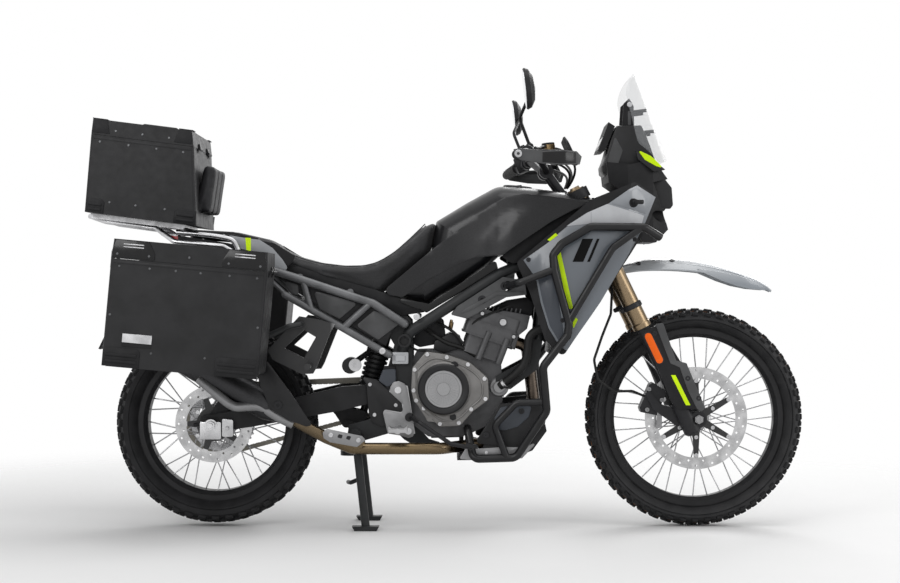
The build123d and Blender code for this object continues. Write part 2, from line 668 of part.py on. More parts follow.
# ---------------------------------------------------------------- engine
cover_x, cover_z = -12, 440
front_sprocket = (-62, 432)
pinion_radius, pinion_teeth = 32.5, 14
cylinder_lean = 19
lean_forward = Vector(cos(radians(cylinder_lean)), 0, -sin(radians(cylinder_lean)))
lean_up = Vector(sin(radians(cylinder_lean)), 0, cos(radians(cylinder_lean)))
deck = Vector(104, 0, 538)    # middle of the joint between crankcase and cylinders
deck_front, deck_rear = deck + lean_forward * 67.5, deck - lean_forward * 67.5
with BuildPart() as engine_case:
    slab([(-122, 500), (-96, 556), (deck_rear.X, deck_rear.Z), (deck_front.X, deck_front.Z), (172, 400),
          (140, 330), (60, 292), (-60, 288), (-112, 330)], -engine_half_width, engine_half_width, corner=12)
    # recess for the chain and its front sprocket
    slab([(-140, 500), (-14, 500), (-8, 440), (-14, 380), (-140, 350)], sprocket_y - 16, 100, mode=Mode.SUBTRACT)
    # joint flange between the crankcase halves, and cooling ribs under the sump
    slab([(-118, 424), (176, 424), (176, 412), (-118, 412)], -engine_half_width + 6, engine_half_width - 18)
    for y in range(-60, 61, 24):
        slab([(-56, 292), (56, 296), (50, 284), (-50, 281)], y - 3, y + 3)
    # output shaft with the front sprocket
    across(front_sprocket, 30, sprocket_y - 17, sprocket_y + 6)
    toothed(front_sprocket, pinion_radius, pinion_teeth, 14)
engine_case.part.label = "engine_case"
export_step(engine_case.part, "parts/engine_case.step")

# height above the joint, length and width of the cylinder block, head and cam cover
cylinder_stack = [(seat_gap, 58, 126, 236), (58, 102, 158, 252), (102, 144, 168, 246)]
port_height, port_y = 76, 45
with BuildPart() as engine_cylinder:
    for low, high, length, width in cylinder_stack:
        with BuildSketch(Plane(origin=deck + lean_up * low, x_dir=lean_forward, z_dir=lean_up)) as level:
            RectangleRounded(length, width, 14)
        extrude(level.sketch, amount=high - low)
    # parting flanges and exhaust ports
    for height, length, width in ((56, 164, 258), (100, 174, 256)):
        with BuildSketch(Plane(origin=deck + lean_up * height, x_dir=lean_forward, z_dir=lean_up)) as flange:
            RectangleRounded(length, width, 16)
        extrude(flange.sketch, amount=4)
    for side in (-1, 1):
        port = deck + lean_up * port_height + lean_forward * 70 + Vector(0, side * port_y, 0)
        rod(port, port + lean_forward * 16, 52)
        # spark plug wells of the cam cover
        well = deck + lean_up * 140 + Vector(0, side * port_y, 0)
        rod(well, well + lean_up * 9, 40)
engine_cylinder.part.label = "engine_cylinder"
export_step(engine_cylinder.part, "parts/engine_cylinder.step")

clutch_outline = [(-97, 516), (60, 512), (112, 468), (116, 409), (74, 375), (14, 332), (-60, 340), (-98, 400)]
generator_outline = [(0, 500), (100, 505), (142, 468), (146, 400), (120, 350), (40, 338), (-4, 380)]
# side, cover outline, dome centre, dome diameter, depth of the cover
engine_sides = [(-1, clutch_outline, (cover_x, cover_z), 168, 56),
                (1, generator_outline, (78, 424), 136, 40)]
cover_boss = 9
with BuildPart() as engine_covers:
    for side, outline, (x, z), diameter, depth in engine_sides:
        inner, outer = engine_half_width + seat_gap, engine_half_width + depth
        slab(outline, *span(side, inner, outer), corner=18)
        # screw bosses round the rim
        for px, pz in outline:
            toward = Vector(x - px, z - pz).normalized() * cover_boss
            across((px + toward.X, pz + toward.Y), cover_boss * 2, *span(side, inner, outer + 2))
        face, radius = engine_half_width + depth, diameter / 2
        turned((x, z), [(side * (face - 1), 0), (side * (face - 1), radius), (side * (face + 10), radius),
                        (side * (face + 16), radius - 6), (side * (face + 16), radius * 0.66),
                        (side * (face + 22), radius * 0.58), (side * (face + 22), radius * 0.2),
                        (side * (face + 19), radius * 0.16), (side * (face + 19), 0)])
    # cover over the front sprocket, on its rims above and below the chain
    slab([(-98, 344), (-98, 510), (-16, 510), (-16, 344)], 104, 110)
    for rim in ([(-98, 501), (-98, 510), (-16, 510), (-16, 501)], [(-98, 344), (-98, 358), (-16, 377), (-16, 344)]):
        slab(rim, engine_half_width + seat_gap, 104)
engine_covers.part.label = "engine_covers"
export_step(engine_covers.part, "parts/engine_covers.step")

radiator_half = 150
with BuildPart() as radiator:
    (x1, z1), (x2, z2) = radiator_back
    slab([(x1, z1), (x1 + 30, z1 + 4), (x2 + 30, z2 + 4), (x2, z2)], -radiator_half + 30, radiator_half - 30)
    for side in (-1, 1):
        slab([(x1, z1), (x1 + 42, z1 + 6), (x2 + 42, z2 + 6), (x2, z2)],
             *span(side, radiator_half - 32, radiator_half))
    # guard ribs across the core
    for share in range(1, 12):
        x, z = x1 + (x2 - x1) * share / 12 + 30, z1 + (z2 - z1) * share / 12 + 4
        across((x, z), 6, 30 - radiator_half, radiator_half - 30)
    rod((x2 + 22, -radiator_half + 16, z2), (x2 + 26, -radiator_half + 16, z2 + 24), 34)
radiator.part.label = "radiator"
export_step(radiator.part, "parts/radiator.step")

pipe_diameter = 36
pipe_y = -stand_half_width - 50      # outside the centre stand's legs
silencer_start, silencer_end = Vector(-486, -192, 356), Vector(-884, -184, 579)
silencer_axis = (silencer_end - silencer_start).normalized()
silencer_length = (silencer_end - silencer_start).length
silencer_radius = 46
heat_shield = [(-384, 315), (-271, 290), (-251, 280), (-262, 262), (-280, 260), (-368, 288)]
with BuildPart() as exhaust_pipe:
    for side in (-1, 1):
        port = deck + lean_up * port_height + lean_forward * 86 + Vector(0, side * port_y, 0)
        tube([port + lean_forward * seat_gap, port + lean_forward * 44, (272, side * port_y, 400),
              (232, side * 36, 270), (120, -40, 259)], pipe_diameter, 32)
        rod(port + lean_forward * seat_gap, port + lean_forward * 9, 46)
    tube([(190, -38, 259), (60, -60, 258), (-20, pipe_y, 258), (-290, pipe_y, 258), (-370, pipe_y - 10, 292),
          silencer_start - silencer_axis * 50, silencer_start - silencer_axis * seat_gap], pipe_diameter,
         [50, 50, 50, 40, 24])
    # collector box under the crankcase
    slab([(176, 240), (176, 282), (78, 278), (78, 240)], -62, -16)
    outer = pipe_y - pipe_diameter / 2
    slab(heat_shield, outer - 12, outer - 8)
    for x in (-362, -284):
        rod((x, pipe_y - 6, line_z([heat_shield[0], heat_shield[2]], x) - 16),
            (x, outer - 9, line_z([heat_shield[0], heat_shield[2]], x) - 16), 10)
exhaust_pipe.part.label = "exhaust_pipe"
export_step(exhaust_pipe.part, "parts/exhaust_pipe.step")

with BuildPart() as silencer:
    spindle(silencer_start, silencer_axis,
            [(0, 0), (0, 24), (70, silencer_radius), (silencer_length - 36, silencer_radius),
             (silencer_length - 30, silencer_radius + 1.5), (silencer_length - 14, silencer_radius + 1.5),
             (silencer_length, 34), (silencer_length, 18), (silencer_length - 60, 18), (silencer_length - 60, 0)])
silencer.part.label = "silencer"
export_step(silencer.part, "parts/silencer.step")

# ---------------------------------------------------------------- rear suspension
swingarm_thick = 30
with BuildPart() as swingarm:
    across((pivot_x, pivot_z), 44, -plate_y + seat_gap, plate_y - seat_gap)
    for side in (-1, 1):
        # x, centre y, centre z, height of the beam
        stations = [(pivot_x, 76, pivot_z, 44), (-330, 112, 408, 74), (-600, arm_spacing, 352, 58),
                    (rear_axle_x - 34, arm_spacing, rear_axle_z, 54)]
        for (x1, y1, z1, h1), (x2, y2, z2, h2) in zip(stations, stations[1:]):
            with BuildSketch(Plane(origin=(x1, side * y1, z1), x_dir=(0, 1, 0), z_dir=(1, 0, 0))) as first:
                Rectangle(swingarm_thick, h1)
            with BuildSketch(Plane(origin=(x2, side * y2, z2), x_dir=(0, 1, 0), z_dir=(1, 0, 0))) as second:
                Rectangle(swingarm_thick, h2)
            loft([first.sketch.face(), second.sketch.face()], ruled=True)
        # chain adjuster block and axle nut
        beam_out = arm_spacing + swingarm_thick / 2
        slab([(rear_axle_x - 43, rear_axle_z + 6), (rear_axle_x - 28, rear_axle_z - 22),
              (rear_axle_x + 62, rear_axle_z - 20), (rear_axle_x + 62, rear_axle_z + 20),
              (rear_axle_x - 28, rear_axle_z + 22)], *span(side, beam_out - 1, beam_out + 4))
        rod((rear_axle_x - 58, side * arm_spacing, rear_axle_z), (rear_axle_x - 30, side * arm_spacing, rear_axle_z), 10)
        across(rear_axle, 34, *span(side, beam_out + 3, beam_out + 13))
        # ears for the suspension link
        strap([(-360, 404, 22), (*link_arm, 14)], *span(side, 34, 41))
    slab([(-338, 436), (-382, 424), (-382, 384), (-338, 380)], -110, 110)
    across(rear_axle, axle_diameter, -arm_spacing - 30, arm_spacing + 30)
    for place in (link_arm, (pivot_x, pivot_z)):
        across(place, 12 + 2 * bolt_gap, -plate_y, plate_y, Mode.SUBTRACT)
swingarm.part.label = "swingarm"
export_step(swingarm.part, "parts/swingarm.step")

with BuildPart() as shock_absorber:
    low, high = Vector(shock_foot[0], 0, shock_foot[1]), Vector(shock_top[0], 0, shock_top[1])
    along = high - low
    grooves = []
    for i in range(9):
        grooves += [(66 + 15 * i, 36), (74 + 15 * i, 36), (77 + 15 * i, 29), (78 + 15 * i, 29)]
    spindle(low, along, [(0, 0), (0, 12), (44, 12), (44, 38), (60, 38)] + grooves +
            [(202, 38), (216, 38), (216, 27), (along.length - 22, 27), (along.length - 14, 15),
             (along.length, 15), (along.length, 0)])
    for place in (shock_foot, shock_top):
        across(place, 30, -20, 20)
    # reservoir beside the shock
    across((-302, 510), 50, -118, -46)
    rod((-302, -60, 510), (-232, -14, 560), 18)
    for place in (shock_foot, shock_top):
        across(place, 12 + 2 * bolt_gap, -21, 21, Mode.SUBTRACT)
shock_absorber.part.label = "shock_absorber"
export_step(shock_absorber.part, "parts/shock_absorber.step")

link_out = 33.7               # outer face of the rocker plates, inside the swingarm's ears
with BuildPart() as suspension_link:
    for side in (-1, 1):
        strap([(*shock_foot, 15), (*link_arm, 13.5), (*link_low, 15)], *span(side, 21, link_out))
        strap([(*link_low, 10), (*link_frame, 19)], *span(side, link_out + seat_gap, link_out + 7))
    for place in (shock_foot, link_arm, link_low):
        across(place, 12, -link_out - 7, link_out + 7)
    across(link_frame, 22 + 2 * bolt_gap, -60, 60, Mode.SUBTRACT)
suspension_link.part.label = "suspension_link"
export_step(suspension_link.part, "parts/suspension_link.step")

chain_half = 8                # half the chain's width
chain_run = 0.5               # chain from the sprockets' roots
chain_depth, groove_depth = 8.5, 6.5


def chain_loop(inner, outer, half, mode=Mode.ADD):
    """Band round both sprockets, between two heights above their roots."""
    with BuildSketch(side_plane(sprocket_y + half)) as loop:
        with BuildLine():
            for (x, z), radius in ((rear_axle, sprocket_radius), (front_sprocket, pinion_radius)):
                CenterArc((x, z), radius + outer, 0, 360)
        make_hull()
        with BuildLine() as hollow:
            for (x, z), radius in ((rear_axle, sprocket_radius), (front_sprocket, pinion_radius)):
                CenterArc((x, z), radius + inner, 0, 360)
        make_hull(hollow.line.edges(), mode=Mode.SUBTRACT)
    extrude(loop.sketch, amount=2 * half, mode=mode)


with BuildPart() as drive_chain:
    chain_loop(chain_run, chain_run + chain_depth, chain_half)
    chain_loop(chain_run - 1, chain_run + groove_depth, groove_half, Mode.SUBTRACT)
drive_chain.part.label = "drive_chain"
export_step(drive_chain.part, "parts/drive_chain.step")

with BuildPart() as rear_caliper:
    caliper(rear_axle, rear_caliper_turn, rear_disc_radius, rear_disc_y, 34, 38)
    # carrier from the axle, against the inside of the swingarm
    carrier_out = arm_spacing - swingarm_thick / 2 - seat_gap
    turn = radians(rear_caliper_turn)
    strap([(*rear_axle, 26), (rear_axle_x + 96 * cos(turn), rear_axle_z + 96 * sin(turn), 18)],
          -carrier_out, -carrier_out + 7)
    across(rear_axle, axle_diameter + 2 * bolt_gap, -carrier_out - 1, -carrier_out + 8, Mode.SUBTRACT)
rear_caliper.part.label = "rear_caliper"
export_step(rear_caliper.part, "parts/rear_caliper.step")

# ---------------------------------------------------------------- body
steering_sweep = leg_spacing + 53          # free radius round the steering axis for the clamps and legs
tank_side = [(-36, 960), (60, 1018), (157, 1071), (280, 1062), (445, 1039), (492, 1034), (470, 985),
             (344, 944), (208, 846), (166, 856), (120, 812), (-66, 690), (-210, 728), (-52, 868)]
# small where the tank rests on its pads
tank_corners = [30, 60, 60, 60, 60, 16, 20, 40, 4, 4, 30, 8, 8, 30]
tank_half = 190
with BuildPart() as fuel_tank:
    slab(tank_side, -tank_half, tank_half, corner=tank_corners)
    plan(both_sides([(-212, 128), (-60, 108), (40, 118), (180, 170), (330, 188), (440, 184), (494, 172)]),
         600, 1100, corner=120)
    # rounded shoulders
    with BuildSketch(Plane(origin=(-300, 0, 0), x_dir=(0, 1, 0), z_dir=(1, 0, 0))) as shoulders:
        with BuildLine():
            Polyline((-110, 1074), (110, 1074))
            ThreePointArc((110, 1074), (166, 1042), (tank_half, 988))
            Polyline((tank_half, 988), (tank_half, 600), (-tank_half, 600), (-tank_half, 988))
            ThreePointArc((-tank_half, 988), (-166, 1042), (-110, 1074))
        make_face()
    extrude(shoulders.sketch, amount=900, mode=Mode.INTERSECT)
    rod(steer_point(0, 0, -200), steer_point(0, 0, 400), 2 * steering_sweep, mode=Mode.SUBTRACT)
    # filler cap
    rod((222, 0, 1056), (222.6, 0, 1073), 96)
fuel_tank.part.label = "fuel_tank"
export_step(fuel_tank.part, "parts/fuel_tank.step")

seat_side = [(-42, 962), (-81, 935), (-150, 871), (-214, 843), (-309, 824), (-404, 827), (-467, 843),
             (-521, 871), (-559, 900), (-657, 922), (-784, 929), (-786, 908), (-640, 896), (-560, 868),
             (-486, 806), (-381, 770), (-219, 728), (-58, 869)]
with BuildPart() as seat:
    slab(seat_side, -135, 135, corner=45)
    plan(both_sides([(-786, 84), (-640, 108), (-520, 119), (-440, 125), (-350, 135), (-200, 118), (-60, 84), (-40, 76)]),
         700, 1000, corner=60)
seat.part.label = "seat"
export_step(seat.part, "parts/seat.step")

rack_tube = 16
tail_half = 154 - rack_tube / 2 - 1   # between the rack's side tubes
tail_bottom = [(-831, 900), (-600, 862)]
with BuildPart() as tail_cover:
    for side in (-1, 1):
        slab([(-831, 913), (-679, 904), (-528, 858), (-492, 818), (-478, 832), (-470, 850), (-532, 888),
              (-640, 912), (-788, 926)], *span(side, 128, tail_half - 4))
    slab([(-831, 913), (tail_bottom[0][0], tail_bottom[0][1]), (tail_bottom[1][0], tail_bottom[1][1]),
          (-600, 872), (-679, 890)], -tail_half, tail_half)
tail_cover.part.label = "tail_cover"
export_step(tail_cover.part, "parts/tail_cover.step")

with BuildPart() as tail_lamp:
    slab([(-831 - seat_gap, 912), (-850, 910), (-852, 888), (-831 - seat_gap, 901.5)], -56, 56)
    for side in (-1, 1):
        rod((-842, side * 50, 904), (-842, side * 96, 904), 12)
        slab([(-833, 912), (-858, 911), (-866, 900), (-856, 893), (-834, 897)], *span(side, 94, 124))
tail_lamp.part.label = "tail_lamp"
export_step(tail_lamp.part, "parts/tail_lamp.step")

shroud_side = [(211, 829), (435, 1019), (574, 1075), (650, 1029), (613, 937), (351, 541), (297, 593), (251, 738)]
shroud_out = [(200, 186), (300, 214), (440, 230), (560, 206), (655, 150)]
shroud_strip = shroud_out + [(x - 2, y - 8) for x, y in reversed(shroud_out)]
with BuildPart() as side_shrouds:
    for side in (-1, 1):
        slab(shroud_side, *span(side, 120, 240), corner=14)
    with BuildSketch(Plane.XY.offset(500)) as strips:
        for side in (-1, 1):
            with BuildLine():
                Polyline(*[(x, side * y) for x, y in shroud_strip], close=True)
            make_face()
    extrude(strips.sketch, amount=600, mode=Mode.INTERSECT)
    # raised edge along the top, standoffs to the tank and the radiator
    for side in (-1, 1):
        across((405, 975), 16, *span(side, 187.2 + seat_gap, 222))
        across((350, 660), 16, *span(side, radiator_half + seat_gap, 216))
side_shrouds.part.label = "side_shrouds"
export_step(side_shrouds.part, "parts/side_shrouds.step")

lamp_back = [(640, 1080), (668, 1004)]        # seat of the headlight
with BuildPart() as front_fairing:
    slab([(500, 1080), (493, 1142), (567, 1134), (641, 1152), (688, 1092), *lamp_back, (690, 934), (649, 893),
          (606, 893), *mask_back], -124, 124)
    plan(both_sides([(490, 118), (560, 124), (640, 104), (696, 70)]), 850, 1200)
    # air ducts beside the lamp and a recess over the instruments
    for side in (-1, 1):
        rod((720, side * 84, 960), (560, side * 92, 1000), 34, Mode.SUBTRACT)
    slab([(480, 1160), (520, 1118), (556, 1112), (580, 1160)], -70, 70, mode=Mode.SUBTRACT)
front_fairing.part.label = "front_fairing"
export_step(front_fairing.part, "parts/front_fairing.step")

with BuildPart() as headlight:
    back_edge = [(line_x(lamp_back, z) + 1.2 * seat_gap, z) for z in (1007, 1077)]
    slab(back_edge + [(686, 1087), (699, 1022)], -80, 80)
    plan(both_sides([(630, 80), (690, 66), (700, 40)]), 900, 1200)
    for side in (-1, 1):
        rod((702, side * 34, 1052), (682, side * 34, 1048), 50, Mode.SUBTRACT)
        rod((692, side * 34, 1050), (676, side * 34, 1047), 46)
headlight.part.label = "headlight"
export_step(headlight.part, "parts/headlight.step")

screen_half, screen_bow, screen_thick = 150, 80, 4
screen_foot, screen_length = (694, 1153), 296
screen_plane = Plane(origin=(screen_foot[0], 0, screen_foot[1]), x_dir=(0, 1, 0), z_dir=(-0.329, 0, 0.944))
screen_radius = (screen_half ** 2 + screen_bow ** 2) / (2 * screen_bow)
with BuildPart() as windscreen:
    with BuildSketch(screen_plane) as bow:
        with BuildLine():
            ThreePointArc((-screen_half, screen_bow), (0, 0), (screen_half, screen_bow))
            Line((screen_half, screen_bow), (screen_half - 2, screen_bow + screen_thick))
            ThreePointArc((screen_half - 2, screen_bow + screen_thick), (0, screen_thick),
                          (2 - screen_half, screen_bow + screen_thick))
            Line((2 - screen_half, screen_bow + screen_thick), (-screen_half, screen_bow))
        make_face()
    extrude(bow.sketch, amount=screen_length)
    with BuildSketch(Plane(origin=(400, 0, 0), x_dir=(0, 1, 0), z_dir=(1, 0, 0))) as front:
        with BuildLine():
            Polyline((-90, 1120), (-150, 1200), (-140, 1320))
            ThreePointArc((-140, 1320), (-112, 1396), (-60, 1425))
            Line((-60, 1425), (60, 1425))
            ThreePointArc((60, 1425), (112, 1396), (140, 1320))
            Polyline((140, 1320), (150, 1200), (90, 1120), (-90, 1120))
        make_face()
    extrude(front.sketch, amount=400, mode=Mode.INTERSECT)
windscreen.part.label = "windscreen"
export_step(windscreen.part, "parts/windscreen.step")

screen_stay_y = 50
with BuildPart() as instrument_display:
    slab([(503, 1269), (523, 1256), (492, 1181), (470, 1178)], -82, 82)
    slab([(505, 1266), (507, 1260), (473, 1184), (470, 1186)], -72, 72, mode=Mode.SUBTRACT)
    for side in (-1, 1):
        slab([(560, 1135.2), (567, 1134.4), (590, 1140), (584, 1322), (570, 1346), (553, 1330), (548, 1258),
              (512, 1240), (500, 1214), (546, 1218)], *span(side, 46, 54))
        # stays to the back of the screen
        y = side * screen_stay_y
        rear = screen_radius - (screen_radius ** 2 - y ** 2) ** 0.5 + screen_thick
        for reach, x, z in ((100, 580, 1236), (170, 572, 1302)):
            rod((x, y, z), screen_plane.from_local_coords((y, rear + seat_gap + 2.4, reach)), 11)
    for x, z in ((572, 1170), (565, 1318)):
        across((x, z), 12, -50, 50)
instrument_display.part.label = "instrument_display"
export_step(instrument_display.part, "parts/instrument_display.step")

with BuildPart() as rear_fender:
    # under the tail, against the tail cover
    end = rear_axle_x - 273
    slab([(-612, 780), (-700, 836), (-830, tail_bottom[0][1] - 7), (-900, 832), (end, 760), (end - 6, 766),
          (-900, 848), (-830, tail_bottom[0][1] - seat_gap), (-690, 856), (-608, 792)], -92, 92)
    slab([(end, 760), (end - 10, 700), (end - 80, 560), (end - 86, 562), (end - 16, 706), (end - 8, 764)],
         -100, 100)
rear_fender.part.label = "rear_fender"
export_step(rear_fender.part, "parts/rear_fender.step")

# ---------------------------------------------------------------- racks and cases
top_origin, top_tilt = (-937, 962), 7.2
pannier_origin, pannier_tilt = (-776, 505), 5.2
hinge_diameter = 9
seam_gap = 1                  # between a case and its lid
case_corner = 2 * case_wall   # upright edges of a case
plate_depth = 15              # adapter plate between the rack and the top case


def tilted(origin, tilt, points):
    """Points (forward, up) of a nose-down case's own frame as places (x, z)."""
    c, s = cos(radians(tilt)), sin(radians(tilt))
    return [(origin[0] + x * c + z * s, origin[1] - x * s + z * c) for x, z in points]


def case_shell(origin, tilt, outer, inner, y_low, y_high):
    """Box open on one edge: side outline with its upright edges rounded, less its hollow."""
    slab(tilted(origin, tilt, outer), y_low, y_high)
    upright = Vector(sin(radians(tilt)), 0, cos(radians(tilt)))
    posts = edges(Select.LAST).filter_by(lambda edge: abs((edge % 0.5).dot(upright)) > 0.98)
    fillet(posts, case_corner)
    slab(tilted(origin, tilt, inner), y_low + case_wall, y_high - case_wall, mode=Mode.SUBTRACT)


def hinge_knuckle(origin, tilt, pin, wall_x, y_low, y_high, up):
    """Hinge barrel round the pin place, with its leaf on the wall above (1) or below (-1)."""
    centre = tilted(origin, tilt, [pin])[0]
    across(centre, hinge_diameter, y_low, y_high)
    leaf = [(wall_x - 1, pin[1] + up), (pin[0], pin[1] + up), (pin[0] + 1, pin[1] + 3 * up),
            (wall_x + 1.5, pin[1] + 16 * up), (wall_x - 2.5, pin[1] + 16 * up)]
    slab(tilted(origin, tilt, leaf), y_low, y_high)


with BuildPart() as luggage_rack:
    rail_tip = Vector(rail_rear[0], rail_y, rail_rear[1])
    shoulder = Vector(-690, 154, 880)
    seat_point = rail_tip + (shoulder - rail_tip).normalized() * (rail_diameter / 2 + seat_gap)
    for side in (-1, 1):
        tube([(-1118, side * 70, 976), (-1060, side * 110, 957), (-900, side * 122, 935),
              (-840, side * 154, 893), (-690, side * 154, 880),
              (seat_point.X, side * seat_point.Y, seat_point.Z)], rack_tube, 24)
    across((-1114, 975), 14, -72, 72)
    across((-880, 919), 14, -134, 134)
    # adapter plate under the top case, with its windows
    slab(tilted(top_origin, top_tilt, [(-165, -plate_depth), (120, -plate_depth), (128, -8), (128, -seat_gap),
                                       (-168, -seat_gap), (-168, -8)]), -124, 124)
    for x in (-112, -24, 64):
        slab(tilted(top_origin, top_tilt, [(x - 30, -30), (x + 30, -30), (x + 30, 5), (x - 30, 5)]), -78, 78,
             mode=Mode.SUBTRACT)
luggage_rack.part.label = "luggage_rack"
export_step(luggage_rack.part, "parts/luggage_rack.step")

top_seam = top_case_height - top_lid_depth
top_hinge = (140, top_seam)
top_half = top_case_width / 2
top_outer = [(-173, 0), (172, 0), (134, top_seam - seam_gap), (-183, top_seam - seam_gap)]
top_inner = [(-173 + case_wall, case_wall), (172 - case_wall, case_wall), (134 - case_wall, top_seam),
             (-183 + case_wall, top_seam)]
with BuildPart() as top_case:
    case_shell(top_origin, top_tilt, top_outer, top_inner, -top_half, top_half)
    for side in (-1, 1):
        low, high = span(side, 100 + seat_gap, 128)
        hinge_knuckle(top_origin, top_tilt, top_hinge, 134, low, high, -1)
top_case.part.label = "top_case"
export_step(top_case.part, "parts/top_case.step")

top_lid_outer = [(-183, top_seam), (134, top_seam), (123, top_case_height), (-183, top_case_height)]
top_lid_inner = [(-183 + case_wall, top_seam - 1), (134 - case_wall, top_seam - 1),
                 (123 - case_wall, top_case_height - case_wall),
                 (-183 + case_wall, top_case_height - case_wall)]
with BuildPart() as top_case_lid:
    case_shell(top_origin, top_tilt, top_lid_outer, top_lid_inner, -top_half, top_half)
    for side in (-1, 1):
        low, high = span(side, 70, 100)
        hinge_knuckle(top_origin, top_tilt, top_hinge, 134, low, high, 1)
        # latch on the rear wall, reaching over the seam
        slab(tilted(top_origin, top_tilt, [(-182, 262), (-190, 258), (-190, 206), (-186, 206), (-186, 246), (-182, 246)]),
             *span(side, 92, 128))
    # carrying handle on top
    handle = tilted(top_origin, top_tilt, [(-70, top_case_height - 2), (-64, top_case_height + 14),
                                           (44, top_case_height + 14), (50, top_case_height - 2)])
    tube([(x, 0, z) for x, z in handle], 8, 8)
top_case_lid.part.label = "top_case_lid"
export_step(top_case_lid.part, "parts/top_case_lid.step")

with BuildPart() as backrest_pad:
    # its back follows the slanted front wall of the case
    slope = (134 - 172) / (top_seam - seam_gap)
    pad = [(172 + 40 * slope + 1.01 * seat_gap, 40), (198, 48), (194, 170), (172, 196),
           (172 + 190 * slope + 1.01 * seat_gap, 190)]
    slab(tilted(top_origin, top_tilt, pad), -130, 130)
backrest_pad.part.label = "backrest_pad"
export_step(backrest_pad.part, "parts/backrest_pad.step")

seam = pannier_height - pannier_lid_depth
half = pannier_length / 2
pannier_hinge = (half + 6, seam)
pannier_out = pannier_inner_y + pannier_width
box_outer = [(-half, 14), (-half + 14, 0), (half - 14, 0), (half, 14), (half, seam - seam_gap), (-half, seam - seam_gap)]
box_inner = [(-half + case_wall, 16), (-half + 16, case_wall), (half - 16, case_wall),
             (half - case_wall, 16), (half - case_wall, seam),
             (-half + case_wall, seam)]
lid_outer = [(-half, seam), (half, seam), (half - 4, pannier_height), (-half + 4, pannier_height)]
lid_inner = [(-half + case_wall, seam - 1), (half - case_wall, seam - 1),
             (half - 4 - case_wall, pannier_height - case_wall),
             (-half + 4 + case_wall, pannier_height - case_wall)]
case_knuckles, lid_knuckles = [(62, 90), (152, 180)], [(30, 62 - seat_gap), (90 + seat_gap, 120)]
with BuildPart() as panniers:
    for side in (-1, 1):
        low, high = span(side, pannier_inner_y, pannier_out)
        case_shell(pannier_origin, pannier_tilt, box_outer, box_inner, low, high)
        for near, far in case_knuckles:
            low, high = span(side, pannier_inner_y + near, pannier_inner_y + far)
            hinge_knuckle(pannier_origin, pannier_tilt, pannier_hinge, half, low, high, -1)
panniers.part.label = "panniers"
export_step(panniers.part, "parts/panniers.step")


def pannier_lid(side):
    """Side case lid with its hinge knuckles and the latch over the seam behind."""
    low, high = span(side, pannier_inner_y, pannier_out)
    case_shell(pannier_origin, pannier_tilt, lid_outer, lid_inner, low, high)
    for near, far in lid_knuckles:
        low, high = span(side, pannier_inner_y + near, pannier_inner_y + far)
        hinge_knuckle(pannier_origin, pannier_tilt, pannier_hinge, half, low, high, 1)
    latch = [(1 - half, seam + 30), (-half - 8, seam + 26), (-half - 8, seam - 34), (-half - 4, seam - 34),
             (-half - 4, seam + 12), (1 - half, seam + 12)]
    for place in (70, 150):
        low, high = span(side, pannier_inner_y + place - 16, pannier_inner_y + place + 16)
        slab(tilted(pannier_origin, pannier_tilt, latch), low, high)


with BuildPart() as pannier_lid_right:
    pannier_lid(-1)
pannier_lid_right.part.label = "pannier_lid_right"
export_step(pannier_lid_right.part, "parts/pannier_lid_right.step")

with BuildPart() as pannier_lid_left:
    pannier_lid(1)
pannier_lid_left.part.label = "pannier_lid_left"
export_step(pannier_lid_left.part, "parts/pannier_lid_left.step")

case_rack_tube = 18
rack_y = pannier_inner_y - seat_gap - case_rack_tube / 2
foot_bracket_y = rail_y + 11 + seat_gap       # inner face of the passenger footrest bracket
foot_bracket_thick = 8
with BuildPart() as pannier_racks:
    for side in (-1, 1):
        rail_side = rail_y + rail_diameter / 2 + seat_gap
        bracket_side = foot_bracket_y + foot_bracket_thick + seat_gap
        rack = [(-586, rail_side, line_z(upper_rail, -586)), (-586, rack_y, 822), (-940, rack_y, 832),
                (-960, rack_y, 620), (-575, rack_y, 590), (-480, rack_y, 634), (-448, rack_y - 26, 640),
                (-448, bracket_side, 640)]
        tube([(x, side * y, z) for x, y, z in rack], case_rack_tube, [26, 30, 30, 30, 16, 16])
pannier_racks.part.label = "pannier_racks"
export_step(pannier_racks.part, "parts/pannier_racks.step")

# ---------------------------------------------------------------- foot controls, guards
with BuildPart() as footrests:
    bracket_out = plate_y + plate_thick + seat_gap + 10
    for side in (-1, 1):
        slab([(-150, 458), (-123, 447), (-100, 300), (-127, 292), (-201, 368), (-177, 440)],
             *span(side, plate_y + plate_thick + seat_gap, bracket_out))
        rod((-150, side * (bracket_out - 1), 318), (-150, side * 262, 318), 18)
        slab([(-178, 324), (-122, 324), (-122, 314), (-178, 314)], *span(side, 182, 262))
        # teeth of the rider's peg
        for y in range(188, 260, 12):
            slab([(-178, 320), (-178, 332), (-168, 326), (-132, 326), (-122, 332), (-122, 320)], *span(side, y, y + 5))
        low, high = span(side, foot_bracket_y, foot_bracket_y + foot_bracket_thick)
        slab([(-552, 560), (-536, 530), (-446, 486), (-412, 488), (-402, 506), (-359, 615), (-345, 640), (-400, 655),
              (-455, 664)], low, high)
        slab([(-500, 566), (-440, 536), (-404, 600), (-440, 622)], low, high, mode=Mode.SUBTRACT)
        rod((-424, side * (foot_bracket_y + 4), 512), (-424, side * 242, 512), 20)
footrests.part.label = "footrests"
export_step(footrests.part, "parts/footrests.step")

